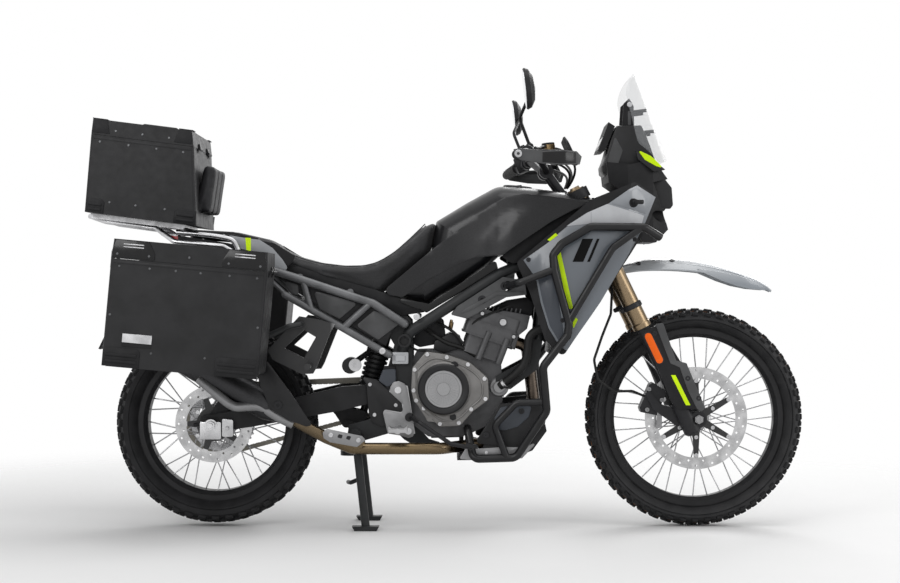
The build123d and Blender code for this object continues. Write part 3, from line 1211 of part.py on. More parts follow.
with BuildPart() as foot_controls:
    pedal_pivot, lever_pivot = (-118, 352), (-30, 330)
    tube([(pedal_pivot[0], -137, pedal_pivot[1]), (-84, -204, 340), (10, -208, 276), (76, -212, 264)], 13, 18)
    slab([(56, 280), (92, 272), (92, 262), (56, 268)], -228, -196)
    across(pedal_pivot, 26, -150, -bracket_out - seat_gap)
    tube([(lever_pivot[0], 166, lever_pivot[1]), (40, 176, 312), (84, 184, 312), (90, 222, 312)], 12, 16)
    across(lever_pivot, 18, engine_half_width + seat_gap, 176)
foot_controls.part.label = "foot_controls"
export_step(foot_controls.part, "parts/foot_controls.step")

bar_y, bar_tube, brace_tube = 246, 25, 22
with BuildPart() as crash_bars:
    engine_seat = engine_half_width + seat_gap
    for side in (-1, 1):
        y = side * bar_y
        tube([(650, side * 200, 905), (599, side * 226, 935), (434, y, 936), (346, y, 884), (320, y, 851),
              (323, y, 806), (368, y, 644), (364, y, 608), (289, y - side * 2, 512), (303, side * 205, 375),
              (210, side * 182, 231), (80, side * 172, 226), (62, side * 134, 314), (62, side * engine_seat, 314)],
             bar_tube, [22, 30, 22, 16, 30, 30, 16, 30, 30, 30, 22, 20])
        tube([(585, side * 229, 931), (500, y, 872), (370, y, 655)], brace_tube, 40)
        mount_x, mount_z = crash_mount
        tube([(322, y, 806), (218, side * 236, 766), (mount_x, side * 188, mount_z),
              (mount_x, side * (spar_y + 5 + seat_gap), mount_z)], brace_tube, 20)
        tube([(301, side * 208, 404), (210, side * 196, 400), (144, side * 188, 330), (181, side * 182, 232)],
             brace_tube, 25)
crash_bars.part.label = "crash_bars"
export_step(crash_bars.part, "parts/crash_bars.step")

with BuildPart() as skid_plate:
    skid_outer = [(302, 330), (306, 310), (262, 250), (190, 222), (30, 220), (30, 226),
                  (188, 228), (258, 256), (299, 313), (296, 327)]
    slab(skid_outer, -150, 150)
    for side in (-1, 1):
        slab([(166, 400), (302, 330), (306, 310), (262, 250), (190, 222), (100, 221), (120, 300)],
             *span(side, 144, 150))
        slab([(180, 360), (262, 318), (226, 270), (170, 256), (150, 296)], *span(side, 140, 154), mode=Mode.SUBTRACT)
    # stiffening ribs and the bolt bosses to the sump
    for y in (-100, -50, 0, 50, 100):
        slab([(32, 218), (188, 219), (188, 224), (32, 224)], y - 8, y + 8)
    for x, y in ((44, 74), (44, 0)):
        rod((x, y, 223), (x, y, line_z([(-60, 288), (60, 292)], x - 7) - seat_gap), 14)
skid_plate.part.label = "skid_plate"
export_step(skid_plate.part, "parts/skid_plate.step")

# ---------------------------------------------------------------- stands
with BuildPart() as centre_stand:
    foot_x = stand_x + stand_lead
    for side in (-1, 1):
        y = side * stand_half_width
        rod((stand_x, y, stand_z), (foot_x, y, 12), 26)
        across((stand_x, stand_z), 34, *span(side, plate_y + plate_thick + seat_gap, stand_half_width + 14))
        slab([(foot_x - 42, 14), (foot_x - 34, 0), (foot_x + 34, 0), (foot_x + 42, 14)],
             *span(side, stand_half_width - 16, stand_half_width + 20))
    across((stand_x + 6, stand_z - 60), 22, -stand_half_width, stand_half_width)
    # tread arm for the rider's foot, on the left
    tube([(stand_x + 18, stand_half_width, 140), (stand_x - 30, stand_half_width + 24, 118),
          (stand_x - 40, stand_half_width + 62, 116)], 14, 14)
centre_stand.part.label = "centre_stand"
export_step(centre_stand.part, "parts/centre_stand.step")

with BuildPart() as side_stand:
    tube([side_pivot, (-150, 158, 226), (-320, 176, 218)], 24, 40)
    rod(side_point(-side_boss[0]), side_point(12), 34)
    rod((-320, 176, 205), (-320, 176, 222), 60)
side_stand.part.label = "side_stand"
export_step(side_stand.part, "parts/side_stand.step")

# from under the lower clamp, behind the fork leg, to the bridge of the caliper
hose_route = [(2, -84, clamp_low - 1), (-2, -92, -170), (-40, -108, -236), (-96, -118, -286),
              (-150, -120, -340), (-166, -112, -400), (-136, -92, -458)]
with BuildPart() as brake_hose:
    turn = radians(front_caliper_turn)
    ports = []
    for reach in (front_disc_radius + caliper_back + 40, front_disc_radius + caliper_back + seat_gap):
        ports.append(Vector(front_axle_x + reach * cos(turn), -75, front_axle_z + reach * sin(turn)))
    tube([steer_point(*place) for place in hose_route] + ports, 8, 26)
brake_hose.part.label = "brake_hose"
export_step(brake_hose.part, "parts/brake_hose.step")
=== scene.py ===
import json
import math

import bpy
import bmesh
from mathutils import Matrix, Vector


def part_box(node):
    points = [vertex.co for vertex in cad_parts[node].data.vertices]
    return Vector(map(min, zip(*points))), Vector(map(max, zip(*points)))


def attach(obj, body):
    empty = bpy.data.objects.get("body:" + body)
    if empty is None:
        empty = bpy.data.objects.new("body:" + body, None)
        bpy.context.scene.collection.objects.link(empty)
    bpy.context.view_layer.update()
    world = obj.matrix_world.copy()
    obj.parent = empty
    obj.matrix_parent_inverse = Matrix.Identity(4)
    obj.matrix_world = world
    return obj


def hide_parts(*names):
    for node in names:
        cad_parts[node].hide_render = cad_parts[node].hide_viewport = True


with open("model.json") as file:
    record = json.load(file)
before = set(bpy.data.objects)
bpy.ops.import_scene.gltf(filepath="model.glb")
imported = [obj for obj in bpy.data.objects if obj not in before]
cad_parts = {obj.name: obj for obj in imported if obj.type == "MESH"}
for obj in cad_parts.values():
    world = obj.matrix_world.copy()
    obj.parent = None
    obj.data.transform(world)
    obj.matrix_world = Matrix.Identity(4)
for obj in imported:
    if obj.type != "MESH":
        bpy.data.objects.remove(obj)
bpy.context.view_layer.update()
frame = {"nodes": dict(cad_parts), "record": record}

nodes = frame["nodes"]
slotOf = {part["node"]: part["material_slot"] for part in frame["record"]["subparts"]}
print("frame loaded")


# materials: each is a Principled surface with its own grain, worked out in object coordinates (metres)
def newFinish(name):
    material = bpy.data.materials.new(name)
    material.use_nodes = True
    tree = material.node_tree
    coords = tree.nodes.new("ShaderNodeTexCoord")
    return material, tree, tree.nodes["Principled BSDF"], coords.outputs["Object"]


def wire(tree, kind, settings=None, **inputs):
    # adds one node; inputs are values or the sockets that feed it
    made = tree.nodes.new(kind)
    for key, value in (settings or {}).items():
        setattr(made, key, value)
    for key, value in inputs.items():
        socket = made.inputs[int(key[1:])] if key[0] == "_" else made.inputs[key]
        if isinstance(value, bpy.types.NodeSocket):
            tree.links.new(value, socket)
        else:
            socket.default_value = value
    return made


def noise(tree, coords, size, detail=3):
    return wire(tree, "ShaderNodeTexNoise", Vector=coords, Scale=1 / size, Detail=detail).outputs["Fac"]


def spread(tree, value, low, high, fromLow=0.35, fromHigh=0.65):
    made = wire(tree, "ShaderNodeMapRange", _0=value, _1=fromLow, _2=fromHigh, _3=low, _4=high)
    return made.outputs[0]


def mixed(tree, share, first, second):
    made = wire(tree, "ShaderNodeMix", {"data_type": "RGBA"}, _0=share)
    for index, value in ((6, first), (7, second)):
        if isinstance(value, bpy.types.NodeSocket):
            tree.links.new(value, made.inputs[index])
        else:
            made.inputs[index].default_value = (*value, 1)
    return made.outputs[2]


def shade(colour, share):
    return tuple(channel * share for channel in colour)


def bumped(tree, shader, height, depth, strength=0.5):
    bump = wire(tree, "ShaderNodeBump", Height=height, Distance=depth, Strength=strength)
    tree.links.new(bump.outputs["Normal"], shader.inputs["Normal"])


def grained(name, look):
    # a plain coat: clouded colour, uneven gloss and a fine grain
    material, tree, shader, coords = newFinish(name)
    colour, rough = look["colour"], look["rough"]
    cloud = noise(tree, coords, look.get("cloud", 0.06))
    vary = look.get("vary", 0.2)
    tint = mixed(tree, spread(tree, cloud, 0, 1), shade(colour, 1 - vary), shade(colour, 1 + vary))
    tree.links.new(tint, shader.inputs["Base Color"])
    fine = noise(tree, coords, look.get("grain", 0.0012), 2)
    patch = noise(tree, coords, look.get("patch", 0.02))
    gloss = spread(tree, patch, rough - look.get("gloss", 0.06), rough + look.get("gloss", 0.06))
    tree.links.new(gloss, shader.inputs["Roughness"])
    shader.inputs["Metallic"].default_value = look.get("metal", 0)
    shader.inputs["Specular IOR Level"].default_value = look.get("shine", 0.4)
    if look.get("lacquer"):
        shader.inputs["Coat Weight"].default_value = look["lacquer"]
        shader.inputs["Coat Roughness"].default_value = 0.08
    bumped(tree, shader, fine, look.get("depth", 0.0002), look.get("relief", 0.4))
    return material


coats = {
    "black_alloy": dict(colour=(0.012, 0.012, 0.013), rough=0.42, shine=0.25, grain=0.0008, depth=0.0001),
    "wheel_hub": dict(colour=(0.42, 0.42, 0.43), rough=0.3, metal=1, grain=0.0008, depth=0.0001),
    "dark_alloy": dict(colour=(0.018, 0.018, 0.02), rough=0.44, shine=0.25, grain=0.001, depth=0.0002),
    "trim_plastic": dict(colour=(0.012, 0.012, 0.013), rough=0.55, shine=0.2, grain=0.0011, depth=0.0004,
                         relief=0.5),
    "hose_rubber": dict(colour=(0.011, 0.011, 0.011), rough=0.55, shine=0.25, grain=0.0008),
    "frame_paint": dict(colour=(0.020, 0.021, 0.022), rough=0.45, shine=0.25, grain=0.0009, depth=0.0002),
    "subframe_paint": dict(colour=(0.13, 0.132, 0.137), rough=0.4, metal=0.3, grain=0.0009, depth=0.0002),
    "engine_alloy": dict(colour=(0.085, 0.085, 0.088), rough=0.5, metal=0.5, cloud=0.05, vary=0.15, grain=0.0022,
                         depth=0.0006, relief=0.6),
    "cover_alloy": dict(colour=(0.19, 0.185, 0.18), rough=0.42, metal=0.6, cloud=0.05, vary=0.12, grain=0.0016,
                        depth=0.0004),
    "swingarm_alloy": dict(colour=(0.016, 0.016, 0.017), rough=0.46, shine=0.2, grain=0.0012, depth=0.0003),
    "dark_steel": dict(colour=(0.014, 0.014, 0.015), rough=0.4, shine=0.25, grain=0.0009),
    "rack_alloy": dict(colour=(0.5, 0.5, 0.51), rough=0.32, metal=1, grain=0.0007, depth=0.0001),
    "footrest_alloy": dict(colour=(0.36, 0.36, 0.37), rough=0.38, metal=0.9, grain=0.0015, depth=0.0003),
    "crash_bar_paint": dict(colour=(0.010, 0.010, 0.011), rough=0.34, shine=0.3, grain=0.0009, depth=0.0002),
    "skid_alloy": dict(colour=(0.018, 0.018, 0.019), rough=0.5, shine=0.25, cloud=0.1, vary=0.35, grain=0.0014,
                       depth=0.0004),
    "radiator_black": dict(colour=(0.012, 0.012, 0.012), rough=0.5, grain=0.0009),
    "case_alloy": dict(colour=(0.015, 0.015, 0.016), rough=0.5, shine=0.25, cloud=0.09, vary=0.25, grain=0.0009,
                       depth=0.0003, relief=0.5),
    "tyre": dict(colour=(0.014, 0.014, 0.015), rough=0.66, shine=0.2, cloud=0.04, vary=0.3, grain=0.0016,
                 depth=0.0004),
}


def brushed(name, look):
    # bare metal drawn along one axis
    material, tree, shader, coords = newFinish(name)
    stretch = wire(tree, "ShaderNodeMapping", Vector=coords, Scale=look["draw"]).outputs[0]
    lines = noise(tree, stretch, 0.0012, 4)
    colour = look["colour"]
    tint = mixed(tree, spread(tree, lines, 0, 1), shade(colour, 0.8), shade(colour, 1.15))
    tree.links.new(tint, shader.inputs["Base Color"])
    tree.links.new(spread(tree, lines, look["rough"] - 0.08, look["rough"] + 0.08), shader.inputs["Roughness"])
    shader.inputs["Metallic"].default_value = 1
    bumped(tree, shader, lines, 0.0001, 0.3)
    return material


drawn = {
    "disc_steel": dict(colour=(0.5, 0.5, 0.51), rough=0.3, draw=(1, 0.2, 1)),
    "fork_gold": dict(colour=(0.25, 0.185, 0.115), rough=0.3, draw=(1, 1, 0.15)),
    "silencer_steel": dict(colour=(0.05, 0.05, 0.052), rough=0.42, draw=(0.15, 1, 1)),
    "chain_steel": dict(colour=(0.2, 0.19, 0.165), rough=0.4, draw=(1, 1, 1)),
}


def satinBlackTank():
    # black metallic under a clear coat, its flakes catching the light one by one
    material, tree, shader, coords = newFinish("tank_paint")
    flakes = wire(tree, "ShaderNodeTexVoronoi", Vector=coords, Scale=1400.0).outputs["Color"]
    spark = wire(tree, "ShaderNodeSeparateColor", Color=flakes).outputs[0]
    base = mixed(tree, spread(tree, spark, 0, 1, 0.55, 1), (0.007, 0.007, 0.008), (0.022, 0.022, 0.024))
    tree.links.new(base, shader.inputs["Base Color"])
    tree.links.new(spread(tree, noise(tree, coords, 0.05), 0.3, 0.36), shader.inputs["Roughness"])
    shader.inputs["Metallic"].default_value = 0.2
    shader.inputs["Specular IOR Level"].default_value = 0.3
    shader.inputs["Coat Weight"].default_value = 0.15
    shader.inputs["Coat Roughness"].default_value = 0.16
    bumped(tree, shader, spark, 0.00004, 0.2)
    return material


def heatedHeader():
    # stainless pipe, straw and bronze near the ports and brighter downstream
    material, tree, shader, coords = newFinish("exhaust_steel")
    along = wire(tree, "ShaderNodeSeparateXYZ", Vector=coords).outputs[0]
    cloud = noise(tree, coords, 0.05, 4)
    sway = wire(tree, "ShaderNodeMath", {"operation": "MULTIPLY_ADD"}, _0=cloud, _1=0.25, _2=along).outputs[0]
    heat = wire(tree, "ShaderNodeMapRange", _0=sway, _1=-0.35, _2=0.4, _3=0.0, _4=1.0).outputs[0]
    ramp = tree.nodes.new("ShaderNodeValToRGB")
    tree.links.new(heat, ramp.inputs[0])
    stops = ramp.color_ramp.elements
    stops[0].color, stops[1].color = (0.13, 0.10, 0.065, 1), (0.10, 0.08, 0.065, 1)
    middle = stops.new(0.5)
    middle.color = (0.17, 0.125, 0.07, 1)
    tree.links.new(ramp.outputs[0], shader.inputs["Base Color"])
    tree.links.new(spread(tree, noise(tree, coords, 0.01), 0.24, 0.4), shader.inputs["Roughness"])
    shader.inputs["Metallic"].default_value = 1
    bumped(tree, shader, noise(tree, coords, 0.002), 0.0001, 0.3)
    return material


def clearPlastic(name, tint, rough, alpha):
    material, tree, shader, coords = newFinish(name)
    scuffs = noise(tree, coords, 0.004, 4)
    tree.links.new(spread(tree, scuffs, rough, rough + 0.05), shader.inputs["Roughness"])
    tone = mixed(tree, noise(tree, coords, 0.1), tint, shade(tint, 0.9))
    tree.links.new(tone, shader.inputs["Base Color"])
    shader.inputs["Alpha"].default_value = alpha
    shader.inputs["Specular IOR Level"].default_value = 0.6
    return material


def rotorSteel(name, centre, edge):
    # a brake rotor: ground steel ring on a black carrier, parted by the distance from the axle
    material, tree, shader, coords = newFinish(name)
    around = wire(tree, "ShaderNodeVectorMath", {"operation": "SUBTRACT"}, _0=coords, _1=(centre[0], 0, centre[1]))
    flat = wire(tree, "ShaderNodeVectorMath", {"operation": "MULTIPLY"}, _0=around.outputs[0], _1=(1, 0, 1))
    reach = wire(tree, "ShaderNodeVectorMath", {"operation": "LENGTH"}, Vector=flat.outputs[0]).outputs["Value"]
    share = wire(tree, "ShaderNodeMapRange", _0=reach, _1=edge - 0.0005, _2=edge + 0.0005, _3=0.0,
                 _4=1.0).outputs[0]
    rings = wire(tree, "ShaderNodeMath", {"operation": "SINE"},
                 _0=wire(tree, "ShaderNodeMath", {"operation": "MULTIPLY"},
                         _0=reach, _1=9000.0).outputs[0]).outputs[0]
    ground = mixed(tree, spread(tree, noise(tree, coords, 0.03), 0, 1), (0.40, 0.40, 0.405), (0.56, 0.56, 0.565))
    tree.links.new(mixed(tree, share, (0.014, 0.014, 0.015), ground), shader.inputs["Base Color"])
    tree.links.new(share, shader.inputs["Metallic"])
    tree.links.new(spread(tree, rings, 0.26, 0.34, -1, 1), shader.inputs["Roughness"])
    bumped(tree, shader, rings, 0.00003, 0.2)
    return material


def redLens():
    material, tree, shader, coords = newFinish("lamp_red")
    ribs = wire(tree, "ShaderNodeTexWave", {"bands_direction": "Y"}, Vector=coords, Scale=60.0).outputs["Fac"]
    tone = mixed(tree, ribs, (0.35, 0.006, 0.006), (0.6, 0.015, 0.012))
    tree.links.new(tone, shader.inputs["Base Color"])
    shader.inputs["Roughness"].default_value = 0.12
    shader.inputs["Coat Weight"].default_value = 1
    bumped(tree, shader, ribs, 0.0006, 0.5)
    return material


def topLitPaint(name, low, high, bottom, top):
    # lacquered paint with painted light from above: darker low and lighter high, blending between two heights
    material, tree, shader, coords = newFinish(name)
    up = wire(tree, "ShaderNodeSeparateXYZ", Vector=coords).outputs[2]
    paintedTopLight = wire(tree, "ShaderNodeMapRange", _0=up, _1=bottom, _2=top, _3=0.0, _4=1.0).outputs[0]
    tone = mixed(tree, paintedTopLight, low, high)
    tone = mixed(tree, spread(tree, noise(tree, coords, 0.2), 0, 0.12), tone, shade(low, 0.8))
    tree.links.new(tone, shader.inputs["Base Color"])
    tree.links.new(spread(tree, noise(tree, coords, 0.03), 0.28, 0.36), shader.inputs["Roughness"])
    shader.inputs["Coat Weight"].default_value = 0.4
    shader.inputs["Coat Roughness"].default_value = 0.1
    bumped(tree, shader, noise(tree, coords, 0.0015), 0.00005, 0.3)
    return material


finish = {name: grained(name, look) for name, look in coats.items()}
finish.update({name: brushed(name, look) for name, look in drawn.items()})
finish["tank_paint"] = satinBlackTank()
finish["exhaust_steel"] = heatedHeader()
finish["lens_glass"] = clearPlastic("lens_glass", (0.8, 0.83, 0.86), 0.03, 0.45)
finish["screen_glass"] = clearPlastic("screen_glass", (0.55, 0.57, 0.59), 0.03, 0.13)
finish["lamp_red"] = redLens()
# the body colour carries painted light, its lower parts painted darker and its upper parts lighter as if lit from
# above
finish["body_colour"] = topLitPaint("body_colour", (0.125, 0.140, 0.160), (0.36, 0.375, 0.40), 0.93, 1.08)
finish["seat_cover"] = grained("seat_cover", dict(colour=(0.016, 0.016, 0.018), rough=0.62, shine=0.35,
                                                  grain=0.0016, depth=0.0007, relief=0.7))

for nodeName, part in nodes.items():
    part.data.materials.clear()
    part.data.materials.append(finish[slotOf[nodeName]])
nodes["front_disc"].data.materials[0] = rotorSteel("front_rotor", (0.778, 0.344), 0.1135)
nodes["rear_disc"].data.materials[0] = rotorSteel("rear_rotor", (-0.727, 0.328), 0.083)
# the mudguard paint carries a painted highlight: its top painted lighter where light falls from above
nodes["front_fender"].data.materials[0] = topLitPaint("fender_paint_lit_top", (0.26, 0.285, 0.315),
                                                     (0.56, 0.58, 0.60), 0.765, 0.835)
print("finishes on", len(nodes), "parts")


# modelling helpers: everything is drawn at its place, by operators, and ends at the origin
def fresh():
    if bpy.context.mode != "OBJECT":
        bpy.ops.object.mode_set(mode="OBJECT")
    bpy.ops.object.select_all(action="DESELECT")


def edit(piece, kind="VERT"):
    fresh()
    piece.select_set(True)
    bpy.context.view_layer.objects.active = piece
    bpy.ops.object.mode_set(mode="EDIT")
    bpy.ops.mesh.select_mode(type=kind)


def pick(piece, kind, test):
    # selects the vertices, edges or faces whose middle (and normal) pass the test
    edit(piece, kind)
    bpy.ops.mesh.select_all(action="DESELECT")
    shape = bmesh.from_edit_mesh(piece.data)
    for item in {"VERT": shape.verts, "EDGE": shape.edges, "FACE": shape.faces}[kind]:
        if kind == "FACE":
            chosen = test(item.calc_center_median(), item.normal)
        elif kind == "EDGE":
            chosen = test((item.verts[0].co + item.verts[1].co) / 2, item.verts[1].co - item.verts[0].co)
        else:
            chosen = test(item.co, item.normal)
        if chosen:
            item.select_set(True)
    bmesh.update_edit_mesh(piece.data)


def settle(piece):
    # place and turn go into the mesh, with the normals outward
    edit(piece)
    bpy.ops.mesh.select_all(action="SELECT")
    bpy.ops.mesh.remove_doubles(threshold=0.00002)
    bpy.ops.mesh.normals_make_consistent(inside=False)
    fresh()
    piece.select_set(True)
    bpy.context.view_layer.objects.active = piece
    bpy.ops.object.transform_apply(location=True, rotation=True, scale=True)
    return piece


def applied(piece, kind, **settings):
    fresh()
    piece.select_set(True)
    bpy.context.view_layer.objects.active = piece
    modifier = piece.modifiers.new(kind.title(), kind)
    for key, value in settings.items():
        setattr(modifier, key, value)
    bpy.ops.object.modifier_apply(modifier=modifier.name)
    return piece


def chamfered(piece, width, segments=2, angle=30):
    return applied(piece, "BEVEL", width=width, segments=segments, limit_method="ANGLE",
                   angle_limit=math.radians(angle))


def joined(name, parts):
    fresh()
    for part in parts:
        part.select_set(True)
    bpy.context.view_layer.objects.active = parts[0]
    bpy.ops.object.join()
    parts[0].name = name
    parts[0].data.name = name
    return settle(parts[0])


def finished(piece, name, body, slot, *replaced, look=None, smooth=40):
    settle(piece)
    bpy.ops.object.shade_smooth_by_angle(angle=math.radians(smooth))
    piece.name = name
    piece.data.materials.clear()
    piece.data.materials.append(look or finish[slot])
    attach(piece, body)
    if replaced:
        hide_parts(*replaced)
    return piece


def copied(piece, place=(0, 0, 0)):
    made = piece.copy()
    made.data = piece.data.copy()
    bpy.context.scene.collection.objects.link(made)
    made.location = Vector(made.location) + Vector(place)
    return made


def mirrored(piece):
    # the same piece on the other side of the machine, joined to the first
    return applied(piece, "MIRROR", use_axis=(False, True, False), use_mirror_merge=False)


def traced(points, fill=True):
    # an outline drawn point by point, closed, with or without its face
    fresh()
    bpy.ops.mesh.primitive_plane_add(size=0.002, location=points[0])
    piece = bpy.context.object
    bpy.ops.object.transform_apply(location=True)
    edit(piece)
    bpy.ops.mesh.select_all(action="SELECT")
    bpy.ops.mesh.merge(type="CENTER")
    for before, after in zip(points, points[1:]):
        step = Vector(after) - Vector(before)
        bpy.ops.mesh.extrude_region_move(TRANSFORM_OT_translate={"value": step})
    bpy.ops.mesh.select_all(action="SELECT")
    bpy.ops.mesh.edge_face_add()
    if not fill:
        bpy.ops.mesh.delete(type="ONLY_FACE")
    return piece


def plate(outline, low, high, bevel=0.0015, segments=2):
    # a side outline (x, z) made solid between two places across the machine
    piece = traced([(x, low, z) for x, z in outline])
    bpy.ops.mesh.select_all(action="SELECT")
    bpy.ops.mesh.extrude_region_move(TRANSFORM_OT_translate={"value": (0, high - low, 0)})
    settle(piece)
    return chamfered(piece, bevel, segments) if bevel else piece


def spun(points, centre, axis=(0, 1, 0), steps=96):
    # a closed outline swept once round an axis
    piece = traced(points, fill=False)
    bpy.ops.mesh.select_all(action="SELECT")
    bpy.ops.mesh.spin(steps=steps, angle=math.tau, center=centre, axis=axis, use_auto_merge=True)
    return settle(piece)


def block(place, size, turn=(0, 0, 0), bevel=0.001, segments=1):
    fresh()
    bpy.ops.mesh.primitive_cube_add(size=1, location=place, rotation=turn, scale=size)
    piece = settle(bpy.context.object)
    return chamfered(piece, bevel, segments) if bevel else piece


def facing(direction):
    return Vector(direction).to_track_quat("Z", "Y").to_euler()


def stud(place, direction, radius, height, sides=16, bevel=0.0008, inner=0):
    # a round head standing on a place, with a hollow drive where inner is given
    fresh()
    direction = Vector(direction).normalized()
    middle = Vector(place) + direction * height / 2
    bpy.ops.mesh.primitive_cylinder_add(vertices=sides, radius=radius, depth=height, location=middle,
                                        rotation=facing(direction))
    piece = settle(bpy.context.object)
    if bevel:
        chamfered(piece, bevel, 1)
    if inner:
        top = Vector(place) + direction * height
        pick(piece, "FACE", lambda at, normal: normal.dot(direction) > 0.99 and (at - top).length < radius * 0.3)
        bpy.ops.mesh.inset(thickness=radius * (1 - inner), depth=0)
        bpy.ops.mesh.inset(thickness=0.0001, depth=-height * 0.55)
        fresh()
    return piece


def ringOf(piece, count, centre, axis="Y"):
    # copies of a piece about a wheel's or a cover's centre, by an array that turns
    turn = bpy.data.objects.new("turner", None)
    bpy.context.scene.collection.objects.link(turn)
    turn.rotation_euler = {"X": (math.tau / count, 0, 0), "Y": (0, math.tau / count, 0),
                           "Z": (0, 0, math.tau / count)}[axis]
    piece.data.transform(Matrix.Translation(-Vector(centre)))
    bpy.context.view_layer.update()
    applied(piece, "ARRAY", count=count, use_relative_offset=False, use_object_offset=True, offset_object=turn)
    piece.data.transform(Matrix.Translation(Vector(centre)))
    bpy.data.objects.remove(turn)
    return piece


def hose(points, radius, sides=12, steps=8):
    # a smooth tube through given points, made a mesh
    curve = bpy.data.curves.new("hose", "CURVE")
    curve.dimensions, curve.bevel_depth, curve.bevel_resolution = "3D", radius, max(1, sides // 4)
    curve.resolution_u, curve.use_fill_caps = steps, True
    line = curve.splines.new("NURBS")
    line.points.add(len(points) - 1)
    for spot, place in zip(line.points, points):
        spot.co = (*place, 1)
    line.order_u, line.use_endpoint_u = 3, True
    piece = bpy.data.objects.new("hose", curve)
    bpy.context.scene.collection.objects.link(piece)
    fresh()
    piece.select_set(True)
    bpy.context.view_layer.objects.active = piece
    bpy.ops.object.convert(target="MESH")
    return bpy.context.object


def steer(forward, across, up):
    # a place in the steering's own frame, in metres
    rake = math.radians(26)
    return Vector((0.44 + forward * math.cos(rake) - up * math.sin(rake), across,
                   0.9 + forward * math.sin(rake) + up * math.cos(rake)))


# tyres: a spun carcass with a groove line on the wall, and knobs in staggered rows
tyres = dict(
    front=dict(centre=(0.778, 0, 0.344), radius=0.344, half=0.050, rim=0.279, bead=0.022, knobs=52, tall=0.0075,
               rows=((0.009, 0.0, 0.014, 0.021), (0.0265, 0.5, 0.015, 0.017), (0.0425, 0.0, 0.013, 0.022))),
    rear=dict(centre=(-0.727, 0, 0.328), radius=0.319, half=0.072, rim=0.244, bead=0.040, knobs=44, tall=0.009,
              rows=((0.0125, 0.0, 0.019, 0.025), (0.037, 0.5, 0.021, 0.021), (0.061, 0.0, 0.018, 0.026))),
    crownDrop=0.022, grooveDepth=0.0012,
)


def carcass(size):
    x, _, z = size["centre"]
    half, bead, tall = size["half"], size["bead"], size["tall"]
    crown, shoulder = size["radius"] - tall, size["radius"] - tyres["crownDrop"] - tall
    bow = (half ** 2 + tyres["crownDrop"] ** 2) / (2 * tyres["crownDrop"])
    side = [(bead, size["rim"] - 0.010), (bead + 0.001, size["rim"] + 0.003), (bead + 0.007, size["rim"] + 0.007),
            (half - 0.009, size["rim"] + 0.017), (half - 0.0035, size["rim"] + 0.026),
            (half - 0.0035 - tyres["grooveDepth"], size["rim"] + 0.0275), (half - 0.002, size["rim"] + 0.029),
            (half, shoulder - 0.006)]
    tread = [(half * share, crown - bow + math.sqrt(bow ** 2 - (half * share) ** 2))
             for share in (1, 0.8, 0.6, 0.4, 0.2)]
    side = side + tread
    whole = [(y, r) for y, r in side] + [(0, crown)] + [(-y, r) for y, r in reversed(side)]
    return spun([(x, y, z + r) for y, r in whole], size["centre"], steps=128)


def knobs(size):
    # one pitch of the pattern, both sides, then a ring of them
    bow = (size["half"] ** 2 + tyres["crownDrop"] ** 2) / (2 * tyres["crownDrop"])
    pitch = math.tau / size["knobs"]
    parts = []
    for y, shift, wide, long in size["rows"]:
        for side in (-1, 1):
            tilt = math.asin(y / bow)
            radius = size["radius"] - bow + math.sqrt(bow ** 2 - y ** 2)
            turn = (shift + (0.25 if side > 0 else 0)) * pitch
            depth = size["tall"] + 0.004
            knob = block((0, 0, 0), (long, wide, depth), bevel=0)
            pick(knob, "FACE", lambda at, normal: normal.z > 0.9)
            bpy.ops.transform.resize(value=(0.82, 0.82, 1))
            fresh()
            chamfered(knob, 0.0012, 1)
            place = Matrix.Rotation(turn, 4, "Y") @ Matrix.Translation((0, side * y, radius - depth / 2 - 0.0006))
            knob.data.transform(place @ Matrix.Rotation(-side * tilt, 4, "X")
                                @ Matrix.Rotation(side * 0.16, 4, "Z"))
            parts.append(knob)
    ring = ringOf(joined("knobs", parts), size["knobs"], (0, 0, 0))
    ring.data.transform(Matrix.Translation(size["centre"]))
    return ring


def dashedRubber(size):
    # rubber with fine rust-coloured dashes in two rings of the tread
    material, tree, shader, coords = newFinish("dashed_rubber")
    parts = wire(tree, "ShaderNodeSeparateXYZ", Vector=coords)
    away = wire(tree, "ShaderNodeMath", {"operation": "ABSOLUTE"}, _0=parts.outputs[1]).outputs[0]
    ring = wire(tree, "ShaderNodeMath", {"operation": "COMPARE"}, _0=away, _1=0.0178, _2=0.0016).outputs[0]
    dx = wire(tree, "ShaderNodeMath", {"operation": "SUBTRACT"}, _0=parts.outputs[0],
              _1=size["centre"][0]).outputs[0]
    dz = wire(tree, "ShaderNodeMath", {"operation": "SUBTRACT"}, _0=parts.outputs[2],
              _1=size["centre"][2]).outputs[0]
    angle = wire(tree, "ShaderNodeMath", {"operation": "ARCTAN2"}, _0=dz, _1=dx).outputs[0]
    beat = wire(tree, "ShaderNodeMath", {"operation": "MULTIPLY"}, _0=angle, _1=float(size["knobs"])).outputs[0]
    dash = wire(tree, "ShaderNodeMath", {"operation": "SINE"}, _0=beat).outputs[0]
    dash = wire(tree, "ShaderNodeMath", {"operation": "GREATER_THAN"}, _0=dash, _1=-0.3).outputs[0]
    mark = wire(tree, "ShaderNodeMath", {"operation": "MULTIPLY"}, _0=ring, _1=dash).outputs[0]
    cloud = mixed(tree, spread(tree, noise(tree, coords, 0.04), 0, 1), (0.012, 0.012, 0.013),
                  (0.022, 0.022, 0.023))
    tree.links.new(mixed(tree, mark, cloud, (0.25, 0.09, 0.02)), shader.inputs["Base Color"])
    tree.links.new(spread(tree, noise(tree, coords, 0.02), 0.55, 0.7), shader.inputs["Roughness"])
    shader.inputs["Specular IOR Level"].default_value = 0.3
    bumped(tree, shader, noise(tree, coords, 0.0016), 0.0004)
    return material


for end in ("front", "rear"):
    size = tyres[end]
    body = end + "_wheel"
    look = dashedRubber(size) if end == "front" else None
    finished(carcass(size), end + "TyreCarcass", body, "tyre", end + "_tyre", look=look)
    finished(knobs(size), end + "TyreKnobs", body, "tyre", smooth=25)
print("tyres")


